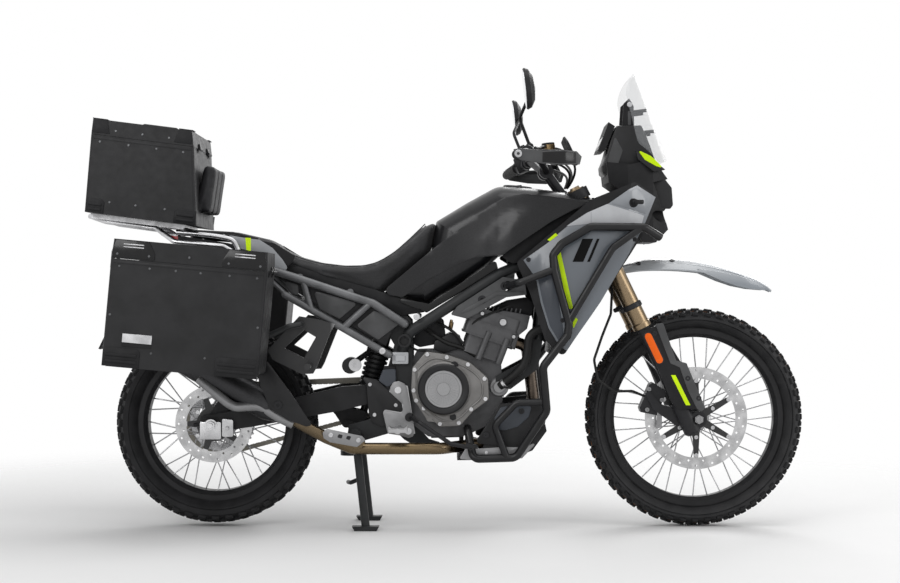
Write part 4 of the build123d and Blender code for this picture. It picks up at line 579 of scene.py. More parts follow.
def lineAt(points, x):
    # a value along a broken line given as (x, value), x rising
    for (x0, v0), (x1, v1) in zip(points, points[1:]):
        if x <= x1:
            return v0 + (v1 - v0) * max(0, (x - x0) / (x1 - x0))
    return points[-1][1]


def nearest(outline, at):
    # distance from a point to a closed outline and the direction away from it
    best, away = 9, Vector((0, 0))
    for start, end in zip(outline, outline[1:] + outline[:1]):
        run = end - start
        share = min(1, max(0, (at - start).dot(run) / max(run.length_squared, 1e-12)))
        gap = at - start - run * share
        if gap.length < best:
            best, away = gap.length, gap.normalized()
    return best, away


def sunk(outline, drops):
    # each point of a side outline moved inward to each depth, as far as the middle line allows
    corners = [Vector(point) for point in outline]
    turn = sum(a.x * b.y - b.x * a.y for a, b in zip(corners, corners[1:] + corners[:1]))
    rings = [[] for _ in drops]
    for i, corner in enumerate(corners):
        along = corners[(i + 1) % len(corners)] - corners[i - 1]
        inward = Vector((-along.y, along.x)).normalized() * (1 if turn > 0 else -1)
        at, depth, away = corner, 0, inward
        for ring, drop in zip(rings, drops):
            while depth < drop - 1e-6:
                ahead = at + away * min(0.002, drop - depth)
                further, direction = nearest(corners, ahead)
                if further < depth + 1e-5:
                    break
                at, depth, away = ahead, further, direction
            ring.append((at.x, at.y))
    return rings


def rounded(outline, radii, steps=4):
    # straight runs joined by tangent arcs, one radius for each corner
    points = []
    for i, (x, z) in enumerate(outline):
        at = Vector((x, z))
        back, ahead = Vector(outline[i - 1]) - at, Vector(outline[(i + 1) % len(outline)]) - at
        half = back.angle(ahead) / 2
        radius = min(radii[i] if isinstance(radii, list) else radii,
                     0.45 * min(back.length, ahead.length) * math.tan(half))
        middle = at + (back.normalized() + ahead.normalized()).normalized() * (radius / math.sin(half))
        start = at + back.normalized() * (radius / math.tan(half)) - middle
        sweep = start.angle_signed(at + ahead.normalized() * (radius / math.tan(half)) - middle)
        for step in range(steps + 1):
            turn = -sweep * step / steps
            c, s = math.cos(turn), math.sin(turn)
            points.append((middle.x + start.x * c - start.y * s, middle.y + start.x * s + start.y * c))
    return points


def pillow(outline, width, layers):
    # a symmetric shell: the side outline extruded in rings, each set out and drawn in by its layer
    shares = [-share for share, _ in reversed(layers) if share] + [share for share, _ in layers]
    inner = sunk(outline, [drop for _, drop in layers])
    rings = [ring for ring, (share, _) in zip(reversed(inner), reversed(layers)) if share] + inner
    piece = traced([(x, 0, z) for x, z in outline])
    for _ in shares[1:]:
        bpy.ops.mesh.extrude_region_move(TRANSFORM_OT_translate={"value": (0, 1, 0)})
    fresh()
    number = {(round(x, 5), round(z, 5)): i for i, (x, z) in enumerate(outline)}
    for vertex in piece.data.vertices:
        level = round(vertex.co.y)
        x, z = rings[level][number[(round(vertex.co.x, 5), round(vertex.co.z, 5))]]
        vertex.co = (x, shares[level] * width(x), z)
    return settle(piece)


def flatColour(name, colour, rough=0.35, vary=0.06):
    return grained(name, dict(colour=colour, rough=rough, vary=vary, grain=0.0015, depth=0.00005, shine=0.25,
                              lacquer=0.1))


brightYellow = flatColour("bright_yellow", (0.66, 0.95, 0.0))
signalOrange = flatColour("signal_orange", (0.90, 0.13, 0.002), 0.3)
paleLacquer = flatColour("pale_lacquer", (0.50, 0.51, 0.53))
deepGrey = flatColour("deep_grey", (0.055, 0.062, 0.075))
glossBlack = flatColour("gloss_black", (0.006, 0.006, 0.0065), 0.24)
markBlack = grained("mark_black", dict(colour=(0.004, 0.004, 0.004), rough=0.5, shine=0.08, grain=0.001))
bareSteel = grained("bare_steel", dict(colour=(0.55, 0.55, 0.56), rough=0.25, metal=1, grain=0.0008, depth=0.0001))


tank = dict(
    outline=[(-0.036, 0.960), (0.060, 1.018), (0.157, 1.071), (0.280, 1.063), (0.445, 1.040), (0.492, 1.034),
             (0.470, 0.985), (0.344, 0.944), (0.208, 0.848), (0.166, 0.854), (0.120, 0.812), (-0.066, 0.688),
             (-0.210, 0.728), (-0.052, 0.866)],
    corners=[0.012, 0.15, 0.07, 0.20, 0.05, 0.012, 0.02, 0.06, 0.03, 0.01, 0.03, 0.012, 0.01, 0.02],
    width=[(-0.212, 0.124), (-0.060, 0.118), (0.040, 0.128), (0.120, 0.150), (0.180, 0.170), (0.250, 0.182),
           (0.330, 0.187), (0.440, 0.182), (0.494, 0.168)],
    layers=[(0, 0), (0.3, 0.0008), (0.5, 0.003), (0.66, 0.008), (0.78, 0.015), (0.88, 0.025), (0.95, 0.036),
            (0.985, 0.048), (1.0, 0.060)],
    # raised flank below the crown's edge, the swelling ahead of the knee and the gloss wedge by the seat
    flank=[(-0.208, 0.734), (-0.051, 0.867), (0.080, 0.967), (0.133, 1.006), (0.180, 1.031), (0.233, 1.0396),
           (0.318, 1.031), (0.3975, 1.020), (0.456, 1.012), (0.3875, 0.991), (0.318, 0.954), (0.239, 0.901),
           (0.170, 0.853), (0.0825, 0.844), (0.0375, 0.827), (-0.064, 0.774), (-0.139, 0.722)],
    flankSteps=24, flankStart=(-0.208, 0.722), flankSpan=(0.664, 0.318), flankThick=0.05, flankEdge=0.006,
    flankLimit=0.189, bulge=0.012, crown=0.96,
    fold=[(0.845, 0.085), (0.90, 0.105), (0.945, 0.15), (0.98, 0.20), (1.01, 0.28), (1.02, 0.40)],
    wedge=[(-0.205, 0.731), (-0.064, 0.674), (0.040, 0.736), (0.158, 0.806), (0.150, 0.838), (0.100, 0.804),
           (0.020, 0.752), (-0.056, 0.702)],
    infill=[(0.165, 0.848), (0.236, 0.902), (0.320, 0.958), (0.390, 0.992), (0.420, 0.985), (0.359, 0.930),
            (0.300, 0.880), (0.236, 0.832), (0.200, 0.826)],
    saddle=[(-0.540, 0.812), (-0.486, 0.826), (-0.380, 0.790), (-0.222, 0.745), (-0.066, 0.692), (-0.070, 0.676),
            (-0.150, 0.664), (-0.300, 0.722), (-0.440, 0.779)],
    capX=0.222, capLean=(0.09, 0, 1), capBolts=6,
)


def makeTank():
    body = pillow(rounded(tank["outline"], tank["corners"]), lambda x: tank["crown"] * lineAt(tank["width"], x),
                  tank["layers"])
    finished(body, "fuelTankShell", "chassis", "tank_paint", "fuel_tank", smooth=60)
    flank = traced([(x, 0, z) for x, z in rounded(tank["flank"], 0.02)])
    (back, low), (long, tall) = tank["flankStart"], tank["flankSpan"]
    for step in range(1, tank["flankSteps"]):
        bpy.ops.mesh.select_all(action="SELECT")
        across = back + long * step / tank["flankSteps"]
        bpy.ops.mesh.bisect(plane_co=(across, 0, 0), plane_no=(1, 0, 0))
        bpy.ops.mesh.select_all(action="SELECT")
        up = low + tall * step / tank["flankSteps"]
        bpy.ops.mesh.bisect(plane_co=(0, 0, up), plane_no=(0, 0, 1))
    bpy.ops.mesh.select_all(action="SELECT")
    bpy.ops.mesh.extrude_region_move(TRANSFORM_OT_translate={"value": (0, tank["flankThick"], 0)})
    settle(flank)
    for vertex in flank.data.vertices:
        x, z = vertex.co.x, vertex.co.z
        ahead = min(1, max(0, (x - lineAt(tank["fold"], z)) / 0.05))
        out = lineAt(tank["width"], x) + 0.0035 + tank["bulge"] * ahead * ahead * (3 - 2 * ahead)
        vertex.co.y -= min(out, tank["flankLimit"])
    flank = mirrored(chamfered(flank, tank["flankEdge"], 3, 50))
    finished(flank, "tankFlanks", "chassis", "tank_paint", smooth=60)
    # gloss panels closing the space down to the frame spar and the rear rail
    wedge = mirrored(plate(rounded(tank["wedge"], 0.008), -0.1235, -0.1200, 0.001))
    finished(wedge, "kneePanels", "chassis", "trim_plastic", look=glossBlack)
    infill = mirrored(plate(rounded(tank["infill"], 0.006), -0.1580, -0.1520, 0.001))
    finished(infill, "tankInfills", "chassis", "trim_plastic")
    skirt = mirrored(plate(rounded(tank["saddle"], 0.008), -0.1170, -0.1140, 0.001))
    finished(skirt, "seatSkirts", "chassis", "trim_plastic")
    x, lean = tank["capX"], tank["capLean"]
    cap = stud((x, 0, 1.060), lean, 0.047, 0.013, 48, 0.003)
    ring = stud((x, 0, 1.056), lean, 0.058, 0.010, 48, 0.002)
    key = block((x, 0, 1.0745), (0.026, 0.012, 0.004), (0, -0.09, 0))
    bolts = ringOf(stud((0.274, 0, 1.0615), lean, 0.004, 0.004, 6, 0, 0.5), tank["capBolts"], (x, 0, 1.062), "Z")
    finished(joined("cap", [cap, ring, key]), "fuelCap", "chassis", "dark_alloy")
    finished(bolts, "fuelCapBolts", "chassis", "rack_alloy")


shroud = dict(
    face=[(0.200, 0.186), (0.300, 0.214), (0.440, 0.230), (0.560, 0.206), (0.655, 0.150)],
    panel=[(0.232, 0.836), (0.300, 0.884), (0.359, 0.934), (0.424, 0.976), (0.485, 1.004), (0.554, 1.052),
           (0.580, 1.064), (0.640, 1.030), (0.604, 0.946), (0.566, 0.876), (0.465, 0.708), (0.362, 0.560),
           (0.340, 0.575), (0.308, 0.628), (0.284, 0.706), (0.270, 0.780)],
    pale=[(0.362, 0.939), (0.424, 0.979), (0.486, 1.006), (0.602, 0.972), (0.594, 0.945), (0.460, 0.942),
          (0.428, 0.945)],
    pocket=[(0.500, 1.008), (0.556, 1.046), (0.580, 1.056), (0.630, 1.028), (0.606, 0.978)],
    dark=[(0.276, 0.778), (0.290, 0.708), (0.312, 0.634), (0.342, 0.584), (0.356, 0.580), (0.350, 0.640),
          (0.328, 0.770), (0.318, 0.800)],
    slashes=[[(0.380, 0.830), (0.412, 0.830), (0.442, 0.900), (0.410, 0.900)],
             [(0.424, 0.830), (0.432, 0.830), (0.462, 0.900), (0.454, 0.900)]],
    yellows=[[(0.330, 0.866), (0.342, 0.870), (0.382, 0.688), (0.366, 0.686)],
             [(0.304, 0.897), (0.312, 0.893), (0.336, 0.911), (0.329, 0.918)],
             [(0.377, 0.640), (0.384, 0.629), (0.396, 0.655), (0.390, 0.661)]],
    bolts=[(0.247, 0.837), (0.350, 0.652), (0.572, 0.899)],
    knob=(0.567, 1.010),
)


def wrapped(outline, lift, thick, bevel=0.0008, cuts=14, face=shroud["face"]):
    # a plate bent round a face given from above, on the right, then mirrored
    piece = traced([(x, 0, z) for x, z in outline])
    low, high = min(x for x, _ in outline), max(x for x, _ in outline)
    for step in range(1, cuts):
        bpy.ops.mesh.select_all(action="SELECT")
        bpy.ops.mesh.bisect(plane_co=(low + (high - low) * step / cuts, 0, 0), plane_no=(1, 0, 0))
    bpy.ops.mesh.select_all(action="SELECT")
    bpy.ops.mesh.extrude_region_move(TRANSFORM_OT_translate={"value": (0, -thick, 0)})
    settle(piece)
    for vertex in piece.data.vertices:
        vertex.co.y -= lineAt(face, vertex.co.x) + lift
    if bevel:
        chamfered(piece, bevel, 2, 50)
    return mirrored(piece)


def makeShrouds():
    nodes["side_shrouds"].data.materials[0] = finish["trim_plastic"]
    finished(wrapped(shroud["panel"], 0.0002, 0.0028), "shroudPanels", "chassis", "body_colour", smooth=30)
    finished(wrapped(shroud["pale"], 0.0028, 0.0009, 0.0003), "shroudPalePanels", "chassis", "body_colour",
             look=paleLacquer)
    finished(wrapped(shroud["pocket"], 0.0028, 0.0016, 0.0008), "shroudPockets", "chassis", "body_colour")
    finished(wrapped(shroud["dark"], 0.0028, 0.0009, 0.0003), "shroudDarkPanels", "chassis", "body_colour",
             look=deepGrey)
    marks = [wrapped(outline, 0.0034, 0.0006, 0) for outline in shroud["slashes"]]
    finished(joined("marks", marks), "shroudSlashes", "chassis", "body_colour", look=markBlack)
    lines = [wrapped(outline, 0.0036, 0.0006, 0) for outline in shroud["yellows"]]
    finished(joined("lines", lines), "shroudYellowLines", "chassis", "body_colour", look=brightYellow)
    bolts = [stud((x, -lineAt(shroud["face"], x) - 0.0030, z), (0, -1, 0), 0.007, 0.003, 24, 0.0008, 0.5)
             for x, z in shroud["bolts"]]
    finished(mirrored(joined("bolts", bolts)), "shroudBolts", "chassis", "dark_alloy")
    x, z = shroud["knob"]
    y = -lineAt(shroud["face"], x)
    knob = [stud((x, y - 0.002, z), (0, -1, 0), 0.014, 0.008, 24, 0.001),
            stud((x, y - 0.008, z), (0.3, -1, 0), 0.008, 0.020, 20, 0.001),
            block((x + 0.014, y - 0.024, z + 0.002), (0.030, 0.014, 0.013), (0, 0, 0.3), 0.003, 2)]
    finished(mirrored(joined("knob", knob)), "shroudKnobs", "chassis", "trim_plastic")


seatCut = dict(
    outline=[(-0.034, 0.966), (-0.070, 0.950), (-0.112, 0.908), (-0.164, 0.861), (-0.217, 0.829), (-0.262, 0.818),
             (-0.322, 0.817), (-0.396, 0.826), (-0.459, 0.843), (-0.511, 0.868), (-0.548, 0.892), (-0.590, 0.905),
             (-0.592, 0.884), (-0.545, 0.850), (-0.486, 0.808), (-0.381, 0.772), (-0.214, 0.728), (-0.056, 0.864)],
    width=[(-0.786, 0.080), (-0.640, 0.104), (-0.520, 0.116), (-0.440, 0.122), (-0.350, 0.130), (-0.200, 0.118),
           (-0.060, 0.080), (-0.040, 0.072)],
    layers=[(0, 0), (0.45, 0.0005), (0.72, 0.003), (0.88, 0.007), (0.96, 0.012), (1.0, 0.018)],
    rear=[(-0.520, 0.878), (-0.560, 0.899), (-0.657, 0.921), (-0.784, 0.928), (-0.786, 0.909), (-0.640, 0.897),
          (-0.540, 0.862)],
    rearLayers=[(0, 0), (0.6, 0.0005), (0.9, 0.003), (1.0, 0.008)],
    voxel=0.005, pressure=4, frames=20, cap=0.005,
)


def padCloth(piece, voxel, pressure, frames, cap):
    # foam under its cover: the skin is blown up against itself and held to a small swell
    applied(piece, "REMESH", mode="VOXEL", voxel_size=voxel)
    rest = [vertex.co.copy() for vertex in piece.data.vertices]
    fresh()
    piece.select_set(True)
    bpy.context.view_layer.objects.active = piece
    cloth = piece.modifiers.new("cover", "CLOTH")
    cloth.settings.use_pressure = True
    cloth.settings.uniform_pressure_force = pressure
    cloth.settings.effector_weights.gravity = 0
    cloth.settings.quality = 5
    for number in range(1, frames + 1):
        bpy.context.scene.frame_set(number)
    bpy.ops.object.modifier_apply(modifier="cover")
    bpy.context.scene.frame_set(1)
    for vertex, start in zip(piece.data.vertices, rest):
        move = vertex.co - start
        if move.length > cap:
            vertex.co = start + move.normalized() * cap
    applied(piece, "SMOOTH", factor=0.5, iterations=3)
    applied(piece, "SUBSURF", levels=1, render_levels=1)
    return piece


def stitchedCover():
    # textured black cover: pebbled grain, a raised diamond weave and a tone that varies in soft clouds
    material, tree, shader, coords = newFinish("stitched_cover")
    pebble = wire(tree, "ShaderNodeTexVoronoi", Vector=coords, Scale=420.0).outputs["Distance"]
    turn = wire(tree, "ShaderNodeMapping", Vector=coords, Rotation=(0, 0, math.radians(45))).outputs[0]
    weave = wire(tree, "ShaderNodeTexChecker", Vector=turn, Scale=180.0).outputs["Fac"]
    cloud = spread(tree, noise(tree, coords, 0.08), 0, 1)
    tone = mixed(tree, cloud, (0.010, 0.010, 0.011), (0.020, 0.020, 0.022))
    tree.links.new(tone, shader.inputs["Base Color"])
    tree.links.new(spread(tree, pebble, 0.52, 0.7, 0, 0.6), shader.inputs["Roughness"])
    shader.inputs["Specular IOR Level"].default_value = 0.35
    shader.inputs["Sheen Weight"].default_value = 0.15
    height = wire(tree, "ShaderNodeMath", {"operation": "MULTIPLY_ADD"}, _0=weave, _1=0.3, _2=pebble).outputs[0]
    bumped(tree, shader, height, 0.0006, 0.7)
    return material


def makeSeat():
    wide = lambda x: lineAt(seatCut["width"], x)
    cover = joined("cover", [pillow(rounded(seatCut["outline"], 0.03, 2), wide, seatCut["layers"]),
                             pillow(rounded(seatCut["rear"], 0.006, 2), wide, seatCut["rearLayers"])])
    padCloth(cover, seatCut["voxel"], seatCut["pressure"], seatCut["frames"], seatCut["cap"])
    finished(cover, "seatCover", "chassis", "seat_cover", "seat", look=stitchedCover(), smooth=60)
    # seams along both edges of the crown
    seams = []
    for side in (-1, 1):
        route = [(x, side * (lineAt(seatCut["width"], x) * 0.84), z + 0.001) for x, z in seatCut["outline"][1:11]]
        seams.append(hose(route, 0.0016, 8, 6))
    finished(joined("seams", seams), "seatSeams", "chassis", "seat_cover")


backrest = dict(
    tilt=7.2, panelAt=0.083, panel=(0.036, 0.080, 0.144), panelLean=0.02,
    back=(0.022, 0.252, 0.148), backLean=0.16,
    voxel=0.004, pressure=3, frames=16, cap=0.003,
)


def makeBackrest():
    # pad on the front of the top case, in three sewn panels
    low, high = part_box("backrest_pad")
    tilt = math.radians(backrest["tilt"])
    middle = (low + high) / 2
    panels = [block((middle.x + 0.001, share * backrest["panelAt"], middle.z), backrest["panel"],
                    (0, tilt + backrest["panelLean"], 0), 0.010, 3) for share in (-1, 0, 1)]
    back = block((middle.x - 0.010, 0, middle.z), backrest["back"], (0, tilt + backrest["backLean"], 0), 0.006, 3)
    pad = joined("pad", panels + [back])
    padCloth(pad, backrest["voxel"], backrest["pressure"], backrest["frames"], backrest["cap"])
    finished(pad, "backrestCover", "chassis", "seat_cover", "backrest_pad", look=finish["seat_cover"], smooth=60)


makeTank()
makeShrouds()
makeSeat()
makeBackrest()
print("bodywork and seat")


# luggage trim on the rounded aluminium boxes
def caseFrame(origin, tilt):
    # places (x, z) of a nose-down box's own frame
    c, s = math.cos(math.radians(tilt)), math.sin(math.radians(tilt))
    return lambda x, z: (origin[0] + x * c + z * s, origin[1] - x * s + z * c)


sideCase = dict(origin=(-0.776, 0.505), tilt=5.2, half=0.2275, tall=0.370, seam=0.314, near=0.250, far=0.470,
                rivets=((0.292, (-0.200, -0.112, -0.036, 0.036, 0.120, 0.200)), (0.048, (-0.086, 0.070)),
                        (0.150, (-0.2145, 0.2145))))
topCase = dict(origin=(-0.937, 0.962), tilt=7.2, rear=-0.183, front=0.134, foot=0.172, seam=0.239, tall=0.286,
               half=0.200, rivets=((0.218, (-0.152, -0.064, 0.022, 0.104)), (0.038, (-0.100, -0.020, 0.070))),
               lidRivets=((0.256, (-0.108, -0.026, 0.056)),))


def rivets(spots, y, out, radius=0.0038):
    # domed heads on a side wall
    return joined("rivets", [stud((x, y, z), (0, out, 0), radius, 0.0018, 12, 0.0012) for x, z in spots])


def riveted(at, rows):
    # places of rivets given row by row in a box's own frame
    return [at(x, z) for z, places in rows for x in places]


def ribbedCorner(at, x0, x1, z0, z1, y0, out, ribs):
    # moulded corner cap: a plate on the wall with raised ribs, running under or over the box
    middle, long = (x0 + x1) / 2, abs(x1 - x0)
    turn = (0, math.radians(ribs["tilt"]), 0)
    pieces = [plate([at(x0, z0), at(x1, z0), at(x1, z1 - 0.008), at(x1 + (0.010 if x1 < x0 else -0.010), z1),
                     at(x0, z1)],
                    *sorted((y0, y0 + out * 0.0026)), 0.0011)]
    for share in ribs["at"]:
        x, z = at(middle, z0 + (z1 - z0) * share)
        pieces.append(block((x, y0 + out * 0.003, z), (long - 0.016, 0.005, ribs["tall"]), turn, 0.0018, 3))
    return pieces


def sideCaseTrim():
    c = sideCase
    at = caseFrame(c["origin"], c["tilt"])
    half, far, seam, tall = c["half"], c["far"], c["seam"], c["tall"]
    turn = (0, math.radians(c["tilt"]), 0)
    # mouldings at the bottom corners, with their ribs
    lower = []
    for x0, x1 in ((-half + 0.002, -0.118), (half - 0.002, 0.100)):
        lower += ribbedCorner(at, x0, x1, 0.001, 0.056, -far - 0.0002, -1,
                              dict(tilt=c["tilt"], at=(0.28, 0.62), tall=0.009))
    finished(mirrored(joined("lower", lower)), "sideCaseCorners", "chassis", "trim_plastic")
    # rows of rivets under the seam and along the bottom, folded seam lip
    rows = riveted(at, c["rivets"])
    finished(mirrored(rivets(rows, -far - 0.0001, -1)), "sideCaseRivets", "chassis", "rack_alloy", look=duskSteel)
    lip = [at(-half + 0.01, seam - 0.0145), at(half - 0.01, seam - 0.0145), at(half - 0.01, seam - 0.0065),
           at(-half + 0.01, seam - 0.0065)]
    finished(mirrored(plate(lip, -far - 0.0012, -far - 0.0001, 0.0005)), "sideCaseLips", "chassis", "case_alloy")
    # bare plate, low at the rear
    x, z = at(-0.130, 0.086)
    finished(mirrored(block((x, -far - 0.0012, z), (0.086, 0.002, 0.026), turn, 0.0006)), "sideCasePlates",
             "chassis", "rack_alloy", look=bareSteel)
    x, z = at(-0.130, 0.066)
    finished(mirrored(block((x, -far - 0.0008, z), (0.086, 0.0014, 0.010), turn, 0.0005)), "sideCasePlateFeet",
             "chassis", "trim_plastic")
    for side, name in ((-1, "right"), (1, "left")):
        rides = "pannier_lid_" + name
        # glossy slotted corner plates on the lid, each with its screws
        armour, slots, screws = [], [], []
        y = side * (far + 0.0001)
        for x0, x1, lean in ((-half + 0.004, -0.098, 1), (half - 0.004, 0.094, -1)):
            line = [at(x0, seam + 0.003), at(x1 - lean * 0.002, seam + 0.003), at(x1 - lean * 0.002, seam + 0.022),
                    at(x1 - lean * 0.020, tall - 0.002), at(x0 + lean * 0.008, tall - 0.002), at(x0, tall - 0.030)]
            armour.append(plate(line, *sorted((y, y + side * 0.0028)), 0.0011))
            middle = (x0 + x1) / 2 - lean * 0.002
            for z0 in (tall - 0.013, tall - 0.021):
                x, z = at(middle, z0)
                slots.append(block((x, y + side * 0.003, z), (0.060, 0.0024, 0.0036), turn, 0.001))
            for shift in (-0.046, 0.046):
                screws.append(at(middle + shift, seam + 0.013))
        finished(joined("armour", armour), "lidArmour_" + name, rides, "case_alloy", look=glossBlack)
        finished(joined("slots", slots), "lidSlots_" + name, rides, "rack_alloy", look=bareSteel)
        screws.append(at(0, seam + 0.020))
        finished(rivets(screws, y + side * 0.0026, side), "lidScrews_" + name, rides, "rack_alloy", look=duskSteel)
        # over-centre latch plates behind, carried by the lid
        latch = []
        for along in (0.070, 0.150):
            x, z = at(-half - 0.0092, seam - 0.004)
            latch.append(block((x, side * (c["near"] + along), z), (0.0024, 0.026, 0.050), turn, 0.001, 2))
        finished(joined("latch", latch), "lidLatches_" + name, rides, "rack_alloy", look=duskSteel)


def topCaseTrim():
    c = topCase
    at = caseFrame(c["origin"], c["tilt"])
    half, seam, tall, rear, front = c["half"], c["seam"], c["tall"], c["rear"], c["front"]
    turn = (0, math.radians(c["tilt"]), 0)
    lower, caps, lips, low, high = [], [], [], [], []
    for side in (-1, 1):
        y = side * (half + 0.0001)
        for x0, x1 in ((rear + 0.012, rear + 0.068), (c["foot"] - 0.004, c["foot"] - 0.072)):
            lower += ribbedCorner(at, x0, x1, 0.001, 0.044, y, side,
                                  dict(tilt=c["tilt"], at=(0.25, 0.60), tall=0.008))
        for x0, x1, lean in ((rear + 0.002, rear + 0.058, 1), (front - 0.008, front - 0.062, -1)):
            line = [at(x0, seam + 0.006), at(x1, seam + 0.006),
                    at(x1 - lean * 0.012, tall), at(x0 + lean * 0.003, tall)]
            caps.append(plate(line, *sorted((y, y + side * 0.0026)), 0.0011))
            x, z = at((x0 + x1) / 2 - lean * 0.006, tall + 0.0014)
            caps.append(block((x, side * (half - 0.024), z), (abs(x1 - x0) - 0.010, 0.052, 0.0026), turn,
                              0.001, 2))
        lips.append(plate([at(rear + 0.01, 0.2255), at(front - 0.006, 0.2255), at(front - 0.008, 0.2325),
                           at(rear + 0.01, 0.2325)], *sorted((y, y + side * 0.0011)), 0.0005))
        low.append(rivets(riveted(at, c["rivets"]), y, side))
        high.append(rivets(riveted(at, c["lidRivets"]), y, side))
    finished(joined("lower", lower), "topCaseCorners", "chassis", "trim_plastic")
    finished(joined("caps", caps), "topLidCorners", "top_case_lid", "trim_plastic")
    finished(joined("lips", lips), "topCaseLips", "chassis", "case_alloy")
    finished(joined("low", low), "topCaseRivets", "chassis", "rack_alloy", look=duskSteel)
    finished(joined("high", high), "topLidRivets", "top_case_lid", "rack_alloy", look=duskSteel)


duskSteel = grained("dusk_steel", dict(colour=(0.10, 0.102, 0.106), rough=0.4, metal=0.9, grain=0.0008,
                                       depth=0.0001))
sideCaseTrim()
topCaseTrim()
print("luggage")


def panel(outline, low, high, bevel=0.001, corner=0.004):
    # a flat trim panel between two places out from the middle, the same on both sides
    return mirrored(plate(rounded(outline, corner) if corner else outline, -high, -low, bevel))


def heads(places, y, radius=0.006, height=0.004, sides=16, inner=0.5):
    # screw heads standing on the right at a given distance from the middle
    return joined("heads", [stud((x, -y, z), (0, -1, 0), radius, height, sides, 0.0006, inner) for x, z in places])


def pipeEnd(place, direction, outer, inner, length=0.004):
    # a collar round the open end of a tube, its bore dark
    ring = stud(place, direction, outer, length, 28, 0.0008)
    pick(ring, "FACE", lambda at, normal: normal.dot(Vector(direction).normalized()) > 0.99)
    bpy.ops.mesh.inset(thickness=outer - inner, depth=0)
    bpy.ops.mesh.inset(thickness=0.0001, depth=-length * 0.8)
    fresh()
    return ring


brightAlloy = brushed("turned_alloy", dict(colour=(0.30, 0.30, 0.305), rough=0.36, draw=(1, 1, 1)))
castGrey = grained("cast_grey", dict(colour=(0.26, 0.26, 0.265), rough=0.42, metal=0.6, vary=0.1, grain=0.0016,
                                     depth=0.0004))
satinBlack = grained("satin_black", dict(colour=(0.013, 0.013, 0.014), rough=0.4, shine=0.3, grain=0.001,
                                         depth=0.0001))
satinGrey = grained("satin_grey", dict(colour=(0.065, 0.066, 0.068), rough=0.42, shine=0.35, grain=0.0014,
                                       depth=0.0002))
bronzeMetal = grained("bronze_metal", dict(colour=(0.27, 0.19, 0.10), rough=0.38, metal=1, grain=0.001))


engine = dict(
    clutch=(-0.012, 0.440), clutchRadius=0.057, coverFace=0.170, ribs=30,
    collar=[(0.058, -0.164), (0.058, -0.171), (0.062, -0.1735), (0.074, -0.1735), (0.079, -0.169),
            (0.079, -0.158)],
    generatorScrews=[(-0.060, 0.470), (-0.020, 0.520), (0.045, 0.520), (0.090, 0.470), (0.090, 0.400),
                     (0.045, 0.352), (-0.010, 0.352)],
    screws=[(-0.062, 0.546), (-0.101, 0.499), (-0.104, 0.435), (-0.096, 0.404), (-0.073, 0.380), (-0.023, 0.332),
            (0.035, 0.335), (0.073, 0.377), (0.117, 0.409), (0.114, 0.471), (0.063, 0.515), (-0.002, 0.537)],
    rim=[(-0.096, 0.494), (-0.058, 0.538), (-0.002, 0.530), (0.060, 0.508), (0.108, 0.468), (0.110, 0.412),
         (0.068, 0.382), (0.032, 0.342), (-0.022, 0.339), (-0.070, 0.387), (-0.090, 0.410), (-0.097, 0.440)],
    # head above the cylinder, the inlet duct over it and the airbox behind the spar
    head=[(0.066, 0.620), (0.080, 0.654), (0.105, 0.674), (0.178, 0.681), (0.257, 0.666), (0.247, 0.624),
          (0.223, 0.605), (0.208, 0.560), (0.188, 0.570), (0.144, 0.600), (0.105, 0.610)],
    duct=[(0.112, 0.676), (0.190, 0.712), (0.250, 0.722), (0.268, 0.700), (0.262, 0.662), (0.178, 0.676)],
    airbox=[(-0.110, 0.578), (-0.090, 0.640), (-0.030, 0.665), (-0.012, 0.648), (-0.006, 0.602), (-0.037, 0.575),
            (-0.086, 0.566)],
    columns=[((0.1295, 0.6147), (0.0951, 0.5312)), ((0.186, 0.5926), (0.1565, 0.5165))],
    headBolts=[(0.172, 0.645, 0.011), (0.205, 0.600, 0.006), (0.108, 0.672, 0.006)],
    pump=(0.161, 0.443), pumpHose=[(0.163, -0.106, 0.446), (0.190, -0.118, 0.466), (0.214, -0.124, 0.486),
                                   (0.240, -0.126, 0.516), (0.250, -0.124, 0.560), (0.252, -0.120, 0.604),
                                   (0.292, -0.118, 0.628), (0.345, -0.118, 0.640)],
    hoses=[([(-0.086, -0.070, 0.632), (-0.050, -0.104, 0.612), (-0.006, -0.110, 0.580), (0.050, -0.112, 0.566),
             (0.088, -0.108, 0.540)], 0.0065),
           ([(-0.060, -0.060, 0.662), (-0.020, -0.112, 0.640), (0.028, -0.116, 0.610), (0.052, -0.112, 0.570),
             (0.090, -0.100, 0.556)], 0.0045),
           ([(0.053, -0.106, 0.590), (0.066, -0.122, 0.634), (0.110, -0.130, 0.664), (0.193, -0.118, 0.696)],
            0.0035),
           ([(-0.150, -0.090, 0.600), (-0.110, -0.116, 0.560), (-0.070, -0.126, 0.556), (-0.030, -0.120, 0.545)],
            0.0035)],
    throttle=[(-0.040, 0.585), (0.010, 0.612), (0.040, 0.600), (0.048, 0.566), (-0.010, 0.548), (-0.044, 0.560)],
    injector=(0.009, 0.6245), box=(-0.146, 0.534), boxSize=(0.051, 0.037),
    railBolts=[(-0.094, 0.662), (-0.200, 0.557)], damperCap=(-0.285, 0.513),
)


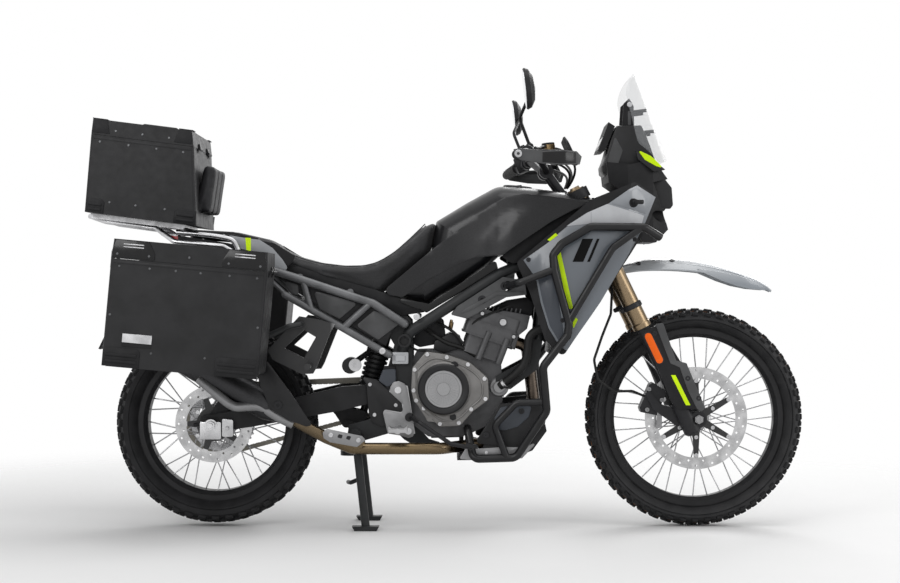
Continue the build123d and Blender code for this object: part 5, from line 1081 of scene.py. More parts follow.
def makeEngineTrim():
    cx, cz = engine["clutch"]
    out = engine["coverFace"]
    disc = stud((cx, -out + 0.002, cz), (0, -1, 0), engine["clutchRadius"], 0.005, 72, 0.001)
    pick(disc, "FACE", lambda at, normal: normal.y < -0.99)
    bpy.ops.mesh.inset(thickness=0.006, depth=0)
    bpy.ops.mesh.inset(thickness=0.001, depth=-0.0015)
    bpy.ops.mesh.inset(thickness=0.028, depth=0)
    bpy.ops.mesh.inset(thickness=0.001, depth=0.0015)
    fresh()
    rib = ringOf(block((cx, -out - 0.0018, cz + 0.034), (0.0016, 0.0016, 0.024), bevel=0.0004), engine["ribs"],
                 (cx, 0, cz))
    finished(joined("disc", [disc, rib]), "clutchDisc", "chassis", "cover_alloy", look=brightAlloy, smooth=30)
    collar = spun([(cx + r, y, cz) for r, y in engine["collar"]], (cx, 0, cz))
    finished(collar, "clutchCollar", "chassis", "engine_alloy", look=satinBlack, smooth=40)
    rim = [(x, -0.1485, z) for x, z in engine["rim"]]
    finished(hose(rim + rim[:1], 0.0035, 8, 6), "coverRim", "chassis", "cover_alloy", smooth=60)
    flange = [(cx + (x - cx) * 1.09, cz + (z - cz) * 1.09) for x, z in engine["screws"]]
    finished(plate(rounded(flange, 0.014), -0.149, -0.090, 0.003, 3), "clutchFlange", "chassis", "cover_alloy")
    finished(heads(engine["screws"], 0.148, 0.0065, 0.006), "coverScrews", "chassis", "rack_alloy")
    screws = joined("screws", [stud((x, 0.117, z), (0, 1, 0), 0.0065, 0.006, 16, 0.0006, 0.5)
                               for x, z in engine["generatorScrews"]])
    finished(screws, "generatorScrews", "chassis", "rack_alloy")
    head = plate(rounded(engine["head"], 0.006), -0.118, 0.118, 0.004, 2)
    fins = [block((0.128 + 0.014 * i, 0, 0.684 - 0.001 * i), (0.005, 0.214, 0.020), (0, 0.3, 0), 0.001)
            for i in range(8)]
    finished(joined("head", [head] + fins), "cylinderHead", "chassis", "engine_alloy")
    duct = plate(rounded(engine["duct"], 0.008), -0.098, 0.098, 0.004, 2)
    airbox = plate(rounded(engine["airbox"], 0.010), -0.088, 0.088, 0.005, 2)
    finished(joined("ducts", [duct, airbox]), "intakeBoxes", "chassis", "trim_plastic")
    # filler cap, level plug, cylinder columns and head bolts
    cap = joined("cap", [stud((0.021, -0.146, 0.512), (0, -1, 0), 0.013, 0.014, 24, 0.0015),
                         block((0.021, -0.162, 0.512), (0.020, 0.006, 0.005), bevel=0.001),
                         stud((0.017, -0.148, 0.353), (0, -1, 0), 0.011, 0.006, 6, 0.001)])
    finished(cap, "oilFillerCap", "chassis", "black_alloy")
    columns = []
    for (x1, z1), (x2, z2) in engine["columns"]:
        columns.append(hose([(x1, -0.122, z1), ((x1 + x2) / 2, -0.125, (z1 + z2) / 2), (x2, -0.122, z2)],
                            0.011, 16, 4))
    finished(mirrored(joined("columns", columns)), "cylinderColumns", "chassis", "engine_alloy", smooth=60)
    bolts = [stud((x, -0.124, z), (0, -1, 0), radius, 0.007, 20, 0.001, 0.55)
             for x, z, radius in engine["headBolts"]]
    finished(mirrored(joined("bolts", bolts)), "headBolts", "chassis", "rack_alloy")


def makeEngineFittings():
    x, z = engine["pump"]
    pump = [stud((x, -0.086, z), (0, -1, 0), 0.030, 0.012, 32, 0.003),
            stud((x, -0.096, z), (0, -1, 0), 0.018, 0.016, 24)]
    finished(joined("pump", pump), "waterPump", "chassis", "engine_alloy", look=castGrey)
    finished(hose(engine["pumpHose"], 0.0135, 20, 8), "coolantHose", "chassis", "hose_rubber", smooth=60)
    clamps = []
    for a, b in ((0, 1), (6, 7)):
        start, end = Vector(engine["pumpHose"][a]), Vector(engine["pumpHose"][b])
        way = (end - start).normalized()
        clamps.append(stud(start + (end - start) * 0.35, way, 0.0152, 0.009, 28, 0.0006))
    finished(joined("clamps", clamps), "hoseClamps", "chassis", "rack_alloy")
    lines = [hose(points, radius, 12, 8) for points, radius in engine["hoses"]]
    finished(joined("lines", lines), "intakeHoses", "chassis", "hose_rubber", smooth=60)
    throttle = plate(rounded(engine["throttle"], 0.008), -0.104, 0.104, 0.003)
    finished(throttle, "throttleBodies", "chassis", "black_alloy")
    x, z = engine["injector"]
    injector = [stud((x, -0.098, z), (0.2, -0.3, 1), 0.007, 0.022, 16, 0.001),
                stud((x + 0.002, -0.104, z + 0.018), (0.2, -0.3, 1), 0.005, 0.010, 6, 0.0006)]
    finished(joined("injector", injector), "fuelRailEnd", "chassis", "engine_alloy", look=bronzeMetal)
    x, z = engine["box"]
    width, high = engine["boxSize"]
    box = [block((x, -0.116, z), (width, 0.030, high), bevel=0.004, segments=2),
           block((x, -0.133, z), (width * 0.6, 0.005, high * 0.5), bevel=0.001)]
    finished(joined("box", box), "sensorHousing", "chassis", "engine_alloy", look=paleLacquer)
    ends = [pipeEnd((-0.133, -0.140, 0.588), (0, -1, 0), 0.021, 0.016, 0.016)]
    finished(joined("ends", ends), "breatherEnd", "chassis", "dark_steel")
    caps = [stud((x, -0.162, z), (0, -1, 0), 0.010, 0.008, 24, 0.001, 0.55) for x, z in engine["railBolts"]]
    finished(mirrored(joined("caps", caps)), "railBolts", "chassis", "rack_alloy")
    x, z = engine["damperCap"]
    disc = [stud((x, -0.134, z), (0, -1, 0), 0.020, 0.006, 32, 0.001, 0.35)]
    finished(joined("disc", disc), "damperCap", "chassis", "rack_alloy")


skid = dict(
    side=[(0.083, 0.273), (0.164, 0.394), (0.272, 0.404), (0.299, 0.402), (0.306, 0.364), (0.300, 0.330),
          (0.242, 0.261), (0.188, 0.261)],
    strip=[(0.036, 0.224), (0.061, 0.266), (0.093, 0.266), (0.095, 0.256), (0.247, 0.266), (0.277, 0.276),
           (0.230, 0.226), (0.080, 0.221)],
    raised=[(0.164, 0.384), (0.203, 0.389), (0.262, 0.394), (0.250, 0.354), (0.218, 0.325), (0.179, 0.313),
            (0.152, 0.315), (0.144, 0.349)],
    bolts=[(0.228, 0.372), (0.119, 0.298)], slots=[(0.120, 0.244), (0.170, 0.246), (0.220, 0.250)],
)


def makeSkidTrim():
    side = panel(skid["side"], 0.148, 0.156, 0.002, 0.010)
    finished(side, "skidSidePanels", "chassis", "skid_alloy")
    inner = panel(skid["raised"], 0.1555, 0.1590, 0.0014, 0.012)
    finished(inner, "skidSideRaised", "chassis", "skid_alloy", look=deepGrey)
    finished(mirrored(heads(skid["bolts"], 0.158, 0.009, 0.005, 24)), "skidSideBolts", "chassis", "dark_alloy")
    strip = panel(skid["strip"], 0.149, 0.153, 0.001, 0.004)
    finished(strip, "skidLowerStrip", "chassis", "skid_alloy", look=castGrey)
    finished(mirrored(heads(skid["slots"], 0.1525, 0.006, 0.003, 6)), "skidStripBolts", "chassis", "rack_alloy")


pegs = dict(
    bracket=[(-0.177, 0.443), (-0.168, 0.460), (-0.150, 0.463), (-0.133, 0.455), (-0.126, 0.440), (-0.102, 0.310),
             (-0.106, 0.291), (-0.121, 0.286), (-0.141, 0.293), (-0.185, 0.300), (-0.200, 0.364), (-0.195, 0.372),
             (-0.141, 0.362), (-0.136, 0.389), (-0.177, 0.428)],
    guard=[(-0.268, 0.477), (-0.219, 0.467), (-0.141, 0.394), (-0.136, 0.364), (-0.195, 0.374), (-0.200, 0.362),
           (-0.190, 0.315), (-0.234, 0.335), (-0.244, 0.364), (-0.251, 0.453)],
    reservoir=[(-0.200, 0.499), (-0.160, 0.502), (-0.159, 0.463), (-0.185, 0.443), (-0.214, 0.463)],
    screws=[(-0.153, 0.435), (-0.121, 0.308)], guardBolts=[(-0.240, 0.452), (-0.226, 0.358), (-0.160, 0.388)],
)


def makePegTrim():
    # rider brackets bright, passenger hangers black: one coat changing along the machine
    material, tree, shader, coords = newFinish("footrest_coats")
    along = wire(tree, "ShaderNodeSeparateXYZ", Vector=coords).outputs[0]
    share = wire(tree, "ShaderNodeMapRange", _0=along, _1=-0.36, _2=-0.34, _3=0.0, _4=1.0).outputs[0]
    cloud = noise(tree, coords, 0.04)
    bright = mixed(tree, cloud, (0.34, 0.34, 0.345), (0.44, 0.44, 0.445))
    tree.links.new(mixed(tree, share, (0.016, 0.016, 0.017), bright), shader.inputs["Base Color"])
    tree.links.new(share, shader.inputs["Metallic"])
    tree.links.new(spread(tree, cloud, 0.34, 0.42), shader.inputs["Roughness"])
    bumped(tree, shader, noise(tree, coords, 0.0015, 2), 0.0003, 0.4)
    nodes["footrests"].data.materials[0] = material
    bracket = panel(pegs["bracket"], 0.1185, 0.1245, 0.0015, 0.006)
    finished(bracket, "pegBrackets", "chassis", "footrest_alloy", look=castGrey)
    finished(panel(pegs["guard"], 0.1150, 0.1195, 0.001, 0.008), "heelGuards", "chassis", "trim_plastic",
             look=satinBlack)
    finished(mirrored(heads(pegs["screws"], 0.124, 0.011, 0.006, 24)), "bracketScrews", "chassis", "rack_alloy")
    finished(mirrored(heads(pegs["guardBolts"], 0.119, 0.006, 0.004)), "heelGuardBolts", "chassis", "rack_alloy")
    bottle = plate(rounded(pegs["reservoir"], 0.008), -0.126, -0.098, 0.004, 3)
    cap = block((-0.180, -0.112, 0.503), (0.036, 0.024, 0.012), bevel=0.003, segments=2)
    finished(bottle, "brakeReservoir", "chassis", "trim_plastic", look=deepGrey)
    finished(cap, "reservoirCap", "chassis", "trim_plastic")


frameCover = dict(
    rib=[(0.030, 0.668), (0.060, 0.690), (0.150, 0.738), (0.236, 0.742), (0.236, 0.732), (0.152, 0.727),
         (0.070, 0.682)],
    plugs=((0.107, 0.715), (0.176, 0.757)),
)


def makeFrameCovers():
    # dark castings over the frame's front joint, their holes closed by screws
    nodes["frame_covers"].data.materials[0] = satinGrey
    rib = panel(frameCover["rib"], 0.1520, 0.1550, 0.0012, 0.003)
    finished(rib, "frameCoverRibs", "chassis", "cover_alloy", look=satinGrey)
    plugs = [stud((x, -0.140, z), (0, -1, 0), 0.013, 0.014, 28, 0.001, 0.5) for x, z in frameCover["plugs"]]
    finished(mirrored(joined("plugs", plugs)), "frameCoverScrews", "chassis", "dark_alloy")


makeFrameCovers()
makeEngineTrim()
makeEngineFittings()
makeSkidTrim()
makePegTrim()
print("engine and footrest trim")


frontEnd = dict(
    reflector=((0.620, 0.601), (0.654, 0.529)), reflectorHalf=0.011,
    mark=[(0.690, 0.482), (0.704, 0.482), (0.750, 0.389), (0.736, 0.389)],
    guardBolts=[(0.742, 0.472), (0.776, 0.411), (0.640, 0.610)],
    guardEdge=[(0.641, 0.640), (0.666, 0.642), (0.706, 0.527), (0.738, 0.519), (0.796, 0.380), (0.783, 0.369),
               (0.770, 0.378), (0.742, 0.434), (0.717, 0.506), (0.688, 0.518)],
    clampForward=0.030, clampUp=-0.252, clampRadius=0.0315, clampHigh=0.017,
    axle=(0.778, 0.344), carrierBolts=6, carrierRadius=0.116, innerRadius=0.060, slotRadius=0.0425,
    window=[(0.650, 0.311), (0.668, 0.318), (0.668, 0.372), (0.654, 0.379)],
    caliperPins=[(0.622, 0.372), (0.628, 0.436), (0.668, 0.402)],
    fenderScrews=[(0.600, 0.040, 0.826, 0.2), (0.706, 0.040, 0.834, 0)],
    skirt=[(0.780, 0.812), (0.860, 0.800), (0.920, 0.788), (0.970, 0.772), (1.012, 0.752), (1.010, 0.7465),
           (0.997, 0.7437), (0.950, 0.748), (0.905, 0.7575), (0.859, 0.7735), (0.795, 0.801)],
    skirtFace=[(0.780, 0.0715), (0.860, 0.0690), (0.920, 0.0600), (0.960, 0.0510), (1.000, 0.0310),
               (1.013, 0.0240)],
    creases=[(0.500, 0.036, 0.790), (0.620, 0.052, 0.826), (0.740, 0.056, 0.828), (0.860, 0.054, 0.810),
             (0.950, 0.044, 0.782), (1.010, 0.022, 0.748)],
)


def slantOval(start, end, half, y, thick, steps=10):
    # a long oval with round ends, lying along a slanted line on a side face
    a, b = Vector(start), Vector(end)
    way = (b - a).normalized()
    across = Vector((-way.y, way.x))
    points = []
    for centre, first in ((b, 0), (a, math.pi)):
        for step in range(steps + 1):
            turn = first + math.pi * step / steps
            at = centre + across * half * math.cos(turn) + way * half * math.sin(turn)
            points.append((at.x, at.y))
    return plate(points, -y - thick, -y, 0.0015, 2)


def makeForkTrim():
    lens = slantOval(*frontEnd["reflector"], frontEnd["reflectorHalf"], 0.1395, 0.006)
    finished(mirrored(lens), "sideReflectors", "steering", "trim_plastic", look=signalOrange)
    rim = slantOval(*frontEnd["reflector"], frontEnd["reflectorHalf"] + 0.004, 0.1385, 0.0025)
    finished(mirrored(rim), "reflectorFrames", "steering", "trim_plastic", look=satinBlack)
    mark = mirrored(plate(frontEnd["mark"], -0.1412, -0.1385, 0.0003, 1))
    finished(mark, "guardMarks", "steering", "trim_plastic", look=brightYellow)
    edge = mirrored(plate(rounded(frontEnd["guardEdge"], 0.004), -0.1425, -0.1385, 0.001, 1))
    finished(edge, "guardEdges", "steering", "trim_plastic", look=satinGrey)
    finished(mirrored(heads(frontEnd["guardBolts"], 0.1395, 0.008, 0.004, 20)), "guardBolts", "steering",
             "dark_alloy")
    # clamp collars at the foot of the upper tubes
    collars = []
    for side in (-1, 1):
        foot = steer(frontEnd["clampForward"], side * 0.105, frontEnd["clampUp"])
        way = steer(0, 0, 1) - steer(0, 0, 0)
        collars.append(stud(foot, way, frontEnd["clampRadius"], frontEnd["clampHigh"], 40, 0.002))
        collars.append(block(foot + way * 0.008 - Vector((0.030, 0, 0.014)), (0.016, 0.022, 0.014),
                             (0, -0.45, 0), 0.003))
    finished(joined("collars", collars), "forkCollars", "steering", "dark_alloy")
    x, z = frontEnd["axle"]
    nut = joined("nut", [stud((x, -0.131, z), (0, -1, 0), 0.0150, 0.004, 6, 0.001),
                         stud((x, -0.131, z), (0, -1, 0), 0.0105, 0.0065, 24, 0.001, 0.6)])
    finished(mirrored(nut), "axleEnds", "steering", "dark_alloy", look=brightAlloy)
    # caliper: bright body window, pins and hose bolt
    window = plate(rounded(frontEnd["window"], 0.003), -0.0945, -0.0900, 0.001)
    pins = heads(frontEnd["caliperPins"], 0.0915, 0.007, 0.005, 20)
    finished(joined("pins", [window, pins]), "caliperPins", "steering", "dark_alloy", look=castGrey)


def makeFrontHubTrim():
    x, z = frontEnd["axle"]
    rings = []
    for reach in (frontEnd["carrierRadius"], frontEnd["innerRadius"]):
        lean = math.radians(30)
        first = stud((x + reach * math.cos(lean), -0.0665, z + reach * math.sin(lean)), (0, -1, 0),
                     0.0068, 0.004, 12, 0.0008, 0.5)
        rings.append(ringOf(first, frontEnd["carrierBolts"], (x, 0, z)))
    finished(joined("rings", rings), "discBolts", "front_wheel", "disc_steel")
    # toothed speed ring inside the carrier
    teeth = ringOf(block((x + frontEnd["slotRadius"], -0.0655, z), (0.009, 0.002, 0.0030), bevel=0), 48, (x, 0, z))
    band = spun([(x + r, y, z) for r, y in ((0.035, -0.064), (0.035, -0.0665), (0.039, -0.0665), (0.039, -0.064))],
                (x, 0, z), steps=64)
    finished(joined("teeth", [teeth, band]), "speedRing", "front_wheel", "dark_steel", look=brightAlloy)


def makeFender():
    # creases pressed along both shoulders of the front mudguard and its fixing screws
    lines = []
    for side in (-1, 1):
        lines.append(hose([(x, side * y, z) for x, y, z in frontEnd["creases"]], 0.0022, 8, 8))
    paint = nodes["front_fender"].data.materials[0]
    finished(joined("lines", lines), "fenderCreases", "steering", "body_colour", look=paint, smooth=60)
    skirt = wrapped(frontEnd["skirt"], -0.0010, 0.0030, 0.0010, 12, frontEnd["skirtFace"])
    finished(skirt, "fenderSkirts", "steering", "body_colour", look=paint, smooth=40)
    screws = [stud((x, side * y, z), (lean, side * 0.4, 1), 0.008, 0.006, 20, 0.001, 0.5)
              for x, y, z, lean in frontEnd["fenderScrews"] for side in (-1, 1)]
    finished(joined("screws", screws), "fenderScrews", "steering", "dark_alloy")


cockpit = dict(
    reservoir=(0.306, -0.272, 1.166), reservoirRadius=0.019, reservoirHigh=0.017,
    barEnd=(0.204, -0.428, 1.140), grips=[(-0.290, 0.232, 1.151), (-0.418, 0.209, 1.141)],
    gripRibs=11,
    cables=[[(0.276, 0.230, 1.168), (0.330, 0.200, 1.186), (0.390, 0.120, 1.152), (0.404, 0.060, 1.104),
             (0.380, 0.022, 1.068)],
            [(0.262, 0.205, 1.156), (0.320, 0.165, 1.140), (0.372, 0.100, 1.124), (0.388, 0.050, 1.096),
             (0.374, 0.034, 1.068)]],
    shell=[(0.192, 1.153), (0.213, 1.156), (0.280, 1.148), (0.340, 1.152), (0.379, 1.150), (0.395, 1.136),
           (0.388, 1.112), (0.337, 1.108), (0.276, 1.111), (0.213, 1.121), (0.195, 1.132)],
    shellFace=[(0.190, 0.455), (0.290, 0.455), (0.345, 0.440), (0.380, 0.415), (0.396, 0.392)],
    gloss=[(0.276, 1.144), (0.340, 1.148), (0.376, 1.146), (0.376, 1.115), (0.337, 1.112), (0.276, 1.115)],
    cowl=[(0.528, 1.258), (0.606, 1.260), (0.620, 1.232), (0.638, 1.184), (0.660, 1.120), (0.586, 1.106),
          (0.530, 1.102), (0.496, 1.104), (0.486, 1.112), (0.484, 1.133), (0.492, 1.152),
          (0.511, 1.220)], cowlHalf=0.078,
    facet=[(0.500, 1.150), (0.523, 1.226), (0.548, 1.180), (0.528, 1.120), (0.502, 1.122)],
    lampSide=[(0.634, 0.998), (0.638, 1.094), (0.676, 1.094), (0.700, 1.064), (0.704, 1.010), (0.696, 0.998)],
    screenFace=[(0.474, 1.1865), (0.506, 1.2600)],
    slots=[[(0.566, 1.262), (0.576, 1.262), (0.574, 1.306), (0.566, 1.306)],
           [(0.564, 1.190), (0.578, 1.190), (0.577, 1.236), (0.564, 1.236)]],
    stayBolts=[(0.571, 1.326), (0.566, 1.176)],
    carrier=[(0.584, 1.176), (0.634, 1.152), (0.676, 1.118), (0.640, 1.110), (0.590, 1.150)],
    accent=[(0.588, 1.180), (0.630, 1.160), (0.645, 1.147), (0.670, 1.122), (0.648, 1.128), (0.612, 1.148)],
)


def makeControls():
    x, y, z = cockpit["reservoir"]
    pots = []
    for side in (-1, 1):
        pots.append(stud((x, side * abs(y), z), (-0.1, 0, 1), cockpit["reservoirRadius"],
                         cockpit["reservoirHigh"], 32, 0.002))
    finished(joined("pots", pots), "fluidPots", "steering", "dark_alloy", look=bronzeMetal)
    lids = [stud((x - 0.0025, side * abs(y), z + 0.016), (-0.1, 0, 1), 0.0195, 0.005, 32, 0.001)
            for side in (-1, 1)]
    finished(joined("lids", lids), "fluidPotLids", "steering", "dark_alloy")
    # ribbed grips, switch boxes and bar ends
    (y1, x1, z1), (y2, x2, z2) = cockpit["grips"]
    start, end = Vector((x1, y1, z1)), Vector((x2, y2, z2))
    way = (end - start).normalized()
    rings = [stud(start, way, 0.0172, (end - start).length, 28, 0.002)]
    for step in range(cockpit["gripRibs"]):
        rings.append(stud(start + (end - start) * (0.08 + 0.084 * step), way, 0.0180, 0.0052, 28, 0.0012))
    grip = joined("grip", rings)
    finished(mirrored(grip), "handGrips", "steering", "hose_rubber", smooth=40)
    switch = [block((0.246, -0.262, 1.158), (0.036, 0.046, 0.050), (0, -0.4, 0.16), 0.006, 2),
              block((0.226, -0.258, 1.176), (0.014, 0.016, 0.010), (0, -0.4, 0.16), 0.002),
              block((0.222, -0.262, 1.156), (0.010, 0.020, 0.008), (0, -0.4, 0.16), 0.002)]
    finished(mirrored(joined("switch", switch)), "switchBoxes", "steering", "trim_plastic")
    bx, by, bz = cockpit["barEnd"]
    ends = joined("ends", [stud((bx + 0.002, by - 0.028, bz), (0, -1, 0), 0.011, 0.006, 28, 0.001, 0.5)])
    finished(mirrored(ends), "barEndBolts", "steering", "dark_alloy", look=bareSteel)
    shell = wrapped(cockpit["shell"], 0, 0.004, 0.0012, 12, cockpit["shellFace"])
    finished(shell, "handguardShells", "steering", "trim_plastic", look=satinGrey, smooth=40)
    gloss = wrapped(cockpit["gloss"], 0.0038, 0.0010, 0.0004, 10, cockpit["shellFace"])
    finished(gloss, "handguardInlays", "steering", "trim_plastic", look=glossBlack, smooth=40)
    cables = mirrored(joined("cables", [hose(points, 0.0038, 10, 8) for points in cockpit["cables"]]))
    finished(cables, "controlCables", "steering", "hose_rubber", smooth=60)


def makeScreenMount():
    # display: black bezel and a pale glass, on slotted stays
    (x1, z1), (x2, z2) = cockpit["screenFace"]
    way = Vector((x2 - x1, 0, z2 - z1))
    lean = math.atan2(way.x, way.z)
    middle = Vector(((x1 + x2) / 2, 0, (z1 + z2) / 2))
    out = Vector((-math.cos(lean), 0, math.sin(lean)))
    bezel = block(middle - out * 0.001, (0.006, 0.140, way.length * 0.96), (0, lean, 0), 0.002, 2)
    finished(bezel, "displayBezel", "chassis", "trim_plastic", look=glossBlack)
    glass = block(middle + out * 0.0025, (0.0012, 0.122, way.length * 0.78), (0, lean, 0), 0.0003)
    finished(glass, "displayGlass", "chassis", "lens_glass", look=screenDark)
    slots = [mirrored(plate(rounded(points, 0.003), -0.0550, -0.0530, 0.0004, 1)) for points in cockpit["slots"]]
    finished(joined("slots", slots), "stayInsets", "chassis", "trim_plastic", look=satinGrey)
    bolts = mirrored(heads(cockpit["stayBolts"], 0.0535, 0.008, 0.005, 20))
    finished(bolts, "stayBolts", "chassis", "rack_alloy")
    cowl = plate(rounded(cockpit["cowl"], 0.006), -cockpit["cowlHalf"], cockpit["cowlHalf"], 0.006, 2)
    finished(cowl, "instrumentCowl", "chassis", "trim_plastic", look=satinBlack)
    facet = mirrored(plate(rounded(cockpit["facet"], 0.004), -cockpit["cowlHalf"] - 0.002,
                           -cockpit["cowlHalf"] + 0.001, 0.001, 1))
    finished(facet, "cowlFacets", "chassis", "trim_plastic", look=satinGrey)
    lamp = mirrored(plate(rounded(cockpit["lampSide"], 0.006), -0.0830, -0.0775, 0.001, 2))
    finished(lamp, "lampSurrounds", "chassis", "trim_plastic", look=satinBlack)
    accent = mirrored(plate(rounded(cockpit["accent"], 0.003), -0.1205, -0.1180, 0.0006, 1))
    finished(accent, "fairingAccents", "chassis", "trim_plastic", look=brightYellow)
    carrier = mirrored(plate(cockpit["carrier"], -0.119, -0.100, 0.002, 2))
    finished(carrier, "accentCarriers", "chassis", "trim_plastic", look=satinBlack)


def screenGlow():
    # a dark panel with soft grey bands where the readings stand
    material, tree, shader, coords = newFinish("screen_dark")
    bands = wire(tree, "ShaderNodeTexWave", {"bands_direction": "Z"}, Vector=coords, Scale=40.0).outputs["Fac"]
    tone = mixed(tree, spread(tree, bands, 0, 1, 0.6, 0.9), (0.012, 0.014, 0.018), (0.05, 0.06, 0.075))
    tree.links.new(tone, shader.inputs["Base Color"])
    tree.links.new(spread(tree, noise(tree, coords, 0.02), 0.06, 0.1), shader.inputs["Roughness"])
    return material


screenDark = screenGlow()


mirror = dict(forward=0.006, across=0.420, up=0.479, droop=-0.35, radius=0.056, thick=0.0018, behind=0.0085)


def makeMirrors():
    # polished glass set in the shells, facing the rider
    ahead = (steer(1, 0, mirror["droop"]) - steer(0, 0, 0)).normalized()
    glasses = []
    for side in (-1, 1):
        head = steer(mirror["forward"], side * mirror["across"], mirror["up"])
        glasses.append(stud(head - ahead * mirror["behind"], -ahead, mirror["radius"], mirror["thick"],
                            64, 0.0005))
    finished(joined("glasses", glasses), "mirrorGlass", "steering", "lens_glass", look=mirrorSilver)


mirrorSilver = brushed("mirror_silver", dict(colour=(0.72, 0.73, 0.75), rough=0.1, draw=(1, 1, 1)))

makeForkTrim()
makeFrontHubTrim()
makeFender()
makeControls()
makeScreenMount()
makeMirrors()
print("front end and cockpit")


rear = dict(
    tailPanel=[(-0.697, 0.918), (-0.621, 0.905), (-0.580, 0.900), (-0.539, 0.874), (-0.508, 0.838),
               (-0.485, 0.801),
               (-0.539, 0.813), (-0.546, 0.849), (-0.646, 0.874)],
    stripe=[(-0.623, 0.906), (-0.606, 0.905), (-0.606, 0.864), (-0.620, 0.868)],
    strip=[(-0.790, 0.931), (-0.660, 0.924), (-0.582, 0.905), (-0.582, 0.899), (-0.660, 0.917), (-0.790, 0.924)],
    grabBar=[(-0.836, 0.922), (-0.760, 0.917), (-0.676, 0.905), (-0.652, 0.892), (-0.645, 0.868)],
    guard=[(-0.586, 0.512), (-0.547, 0.531), (-0.470, 0.426), (-0.409, 0.334), (-0.428, 0.331), (-0.484, 0.351),
           (-0.538, 0.385), (-0.567, 0.458)], guardBolt=(-0.513, 0.396),
    neckPipe=[(-0.470, -0.214, 0.336), (-0.510, -0.219, 0.354), (-0.567, -0.222, 0.392), (-0.608, -0.222, 0.391),
              (-0.650, -0.222, 0.387), (-0.700, -0.222, 0.428), (-0.757, -0.218, 0.475)], neckRadius=0.0145,
    sidePanels=[[(-0.414, 0.744), (-0.274, 0.7045), (-0.333, 0.655), (-0.394, 0.685)],
                [(-0.283, 0.634), (-0.227, 0.681), (-0.134, 0.651), (-0.214, 0.590)],
                [(-0.515, 0.778), (-0.461, 0.761), (-0.458, 0.724), (-0.485, 0.736)]],
    pipeGuard=[(-0.380, 0.310), (-0.367, 0.322), (-0.343, 0.317), (-0.260, 0.300), (-0.248, 0.288),
               (-0.275, 0.266),
               (-0.358, 0.281), (-0.377, 0.293)],
    pipeHoles=[[(-0.336, 0.296), (-0.330, 0.306), (-0.318, 0.303), (-0.322, 0.292)],
               [(-0.310, 0.292), (-0.304, 0.301), (-0.292, 0.299), (-0.298, 0.287)]],
    pipeScrews=[(-0.355, 0.303), (-0.271, 0.287)],
    adjusterBack=[(-0.761, 0.285), (-0.696, 0.285), (-0.696, 0.339), (-0.761, 0.339)],
    adjusterFront=[(-0.693, 0.293), (-0.659, 0.293), (-0.659, 0.345), (-0.693, 0.349)],
    axle=(-0.727, 0.328), sprocketRadius=0.1095, pinion=(-0.060, 0.427), pinionRadius=0.0325, links=104,
    chainY=0.092, linkInset=0.0015, linkGap=0.0170,
    linkPlate=[(-0.0120, 0.0050), (-0.0060, 0.0074), (0, 0.0058), (0.0060, 0.0074), (0.0120, 0.0050),
               (0.0120, -0.0050), (0.0060, -0.0074), (0, -0.0058), (-0.0060, -0.0074), (-0.0120, -0.0050)],
)


def makeTail():
    outline = rounded(rear["tailPanel"], 0.010)
    finished(panel(outline, 0.1425, 0.1465, 0.0012, 0), "tailPanels", "chassis", "body_colour", look=panelGrey)
    stripe = mirrored(plate(rear["stripe"], -0.1475, -0.1455, 0.0002, 1))
    finished(stripe, "tailStripes", "chassis", "body_colour", look=brightYellow)
    strip = mirrored(plate(rear["strip"], -0.146, -0.120, 0.001, 2))
    finished(strip, "tailStrips", "chassis", "trim_plastic", look=satinBlack)
    bars = [hose([(x, side * 0.150, z) for x, z in rear["grabBar"]], 0.0085, 16, 8) for side in (-1, 1)]
    finished(joined("bars", bars), "grabBars", "chassis", "rack_alloy", smooth=60)
    feet = [stud((x, side * 0.136, z), (0, side, 0), 0.009, 0.012, 20, 0.001) for side in (-1, 1)
            for x, z in ((-0.812, 0.919), (-0.690, 0.907))]
    finished(joined("feet", feet), "grabBarFeet", "chassis", "rack_alloy")


def makeSidePanels():
    # raised panels of the side covers, seen between the rear tubes
    for number, outline in enumerate(rear["sidePanels"]):
        low = panel(outline, 0.1360, 0.1405, 0.0030, 0.008)
        finished(low, "sidePanel%d" % (number + 1), "chassis", "trim_plastic", look=satinGrey)


def makeExhaustTrim():
    # black guard over the silencer's neck and a perforated one beside the heel, whose holes are dark plates
    # painting the shade inside them
    guard = plate(rounded(rear["guard"], 0.010), -0.2385, -0.2345, 0.001)
    x, z = rear["guardBolt"]
    stand = stud((x, -0.195, z), (0, -1, 0), 0.008, 0.042, 20)
    finished(joined("guard", [guard, stand]), "silencerGuard", "chassis", "trim_plastic", look=satinBlack)
    finished(stud((x, -0.238, z), (0, -1, 0), 0.013, 0.005, 28, 0.001, 0.5), "silencerGuardBolt", "chassis",
             "dark_alloy")
    neck = hose(rear["neckPipe"], rear["neckRadius"], 20, 8)
    finished(neck, "silencerNeckPipe", "chassis", "silencer_steel", look=castGrey, smooth=60)
    cover = plate(rounded(rear["pipeGuard"], 0.006), -0.2120, -0.2085, 0.001)
    finished(cover, "pipeGuard", "chassis", "footrest_alloy", look=castGrey)
    # dark plates standing for the guard's holes: painted shade of the openings
    holes = [plate(rounded(hole, 0.003), -0.2125, -0.2110, 0.0002, 1) for hole in rear["pipeHoles"]]
    finished(joined("holes", holes), "pipeGuardHoleShade", "chassis", "trim_plastic", look=satinBlack)
    finished(heads(rear["pipeScrews"], 0.2115, 0.007, 0.004, 20), "pipeGuardScrews", "chassis", "rack_alloy")


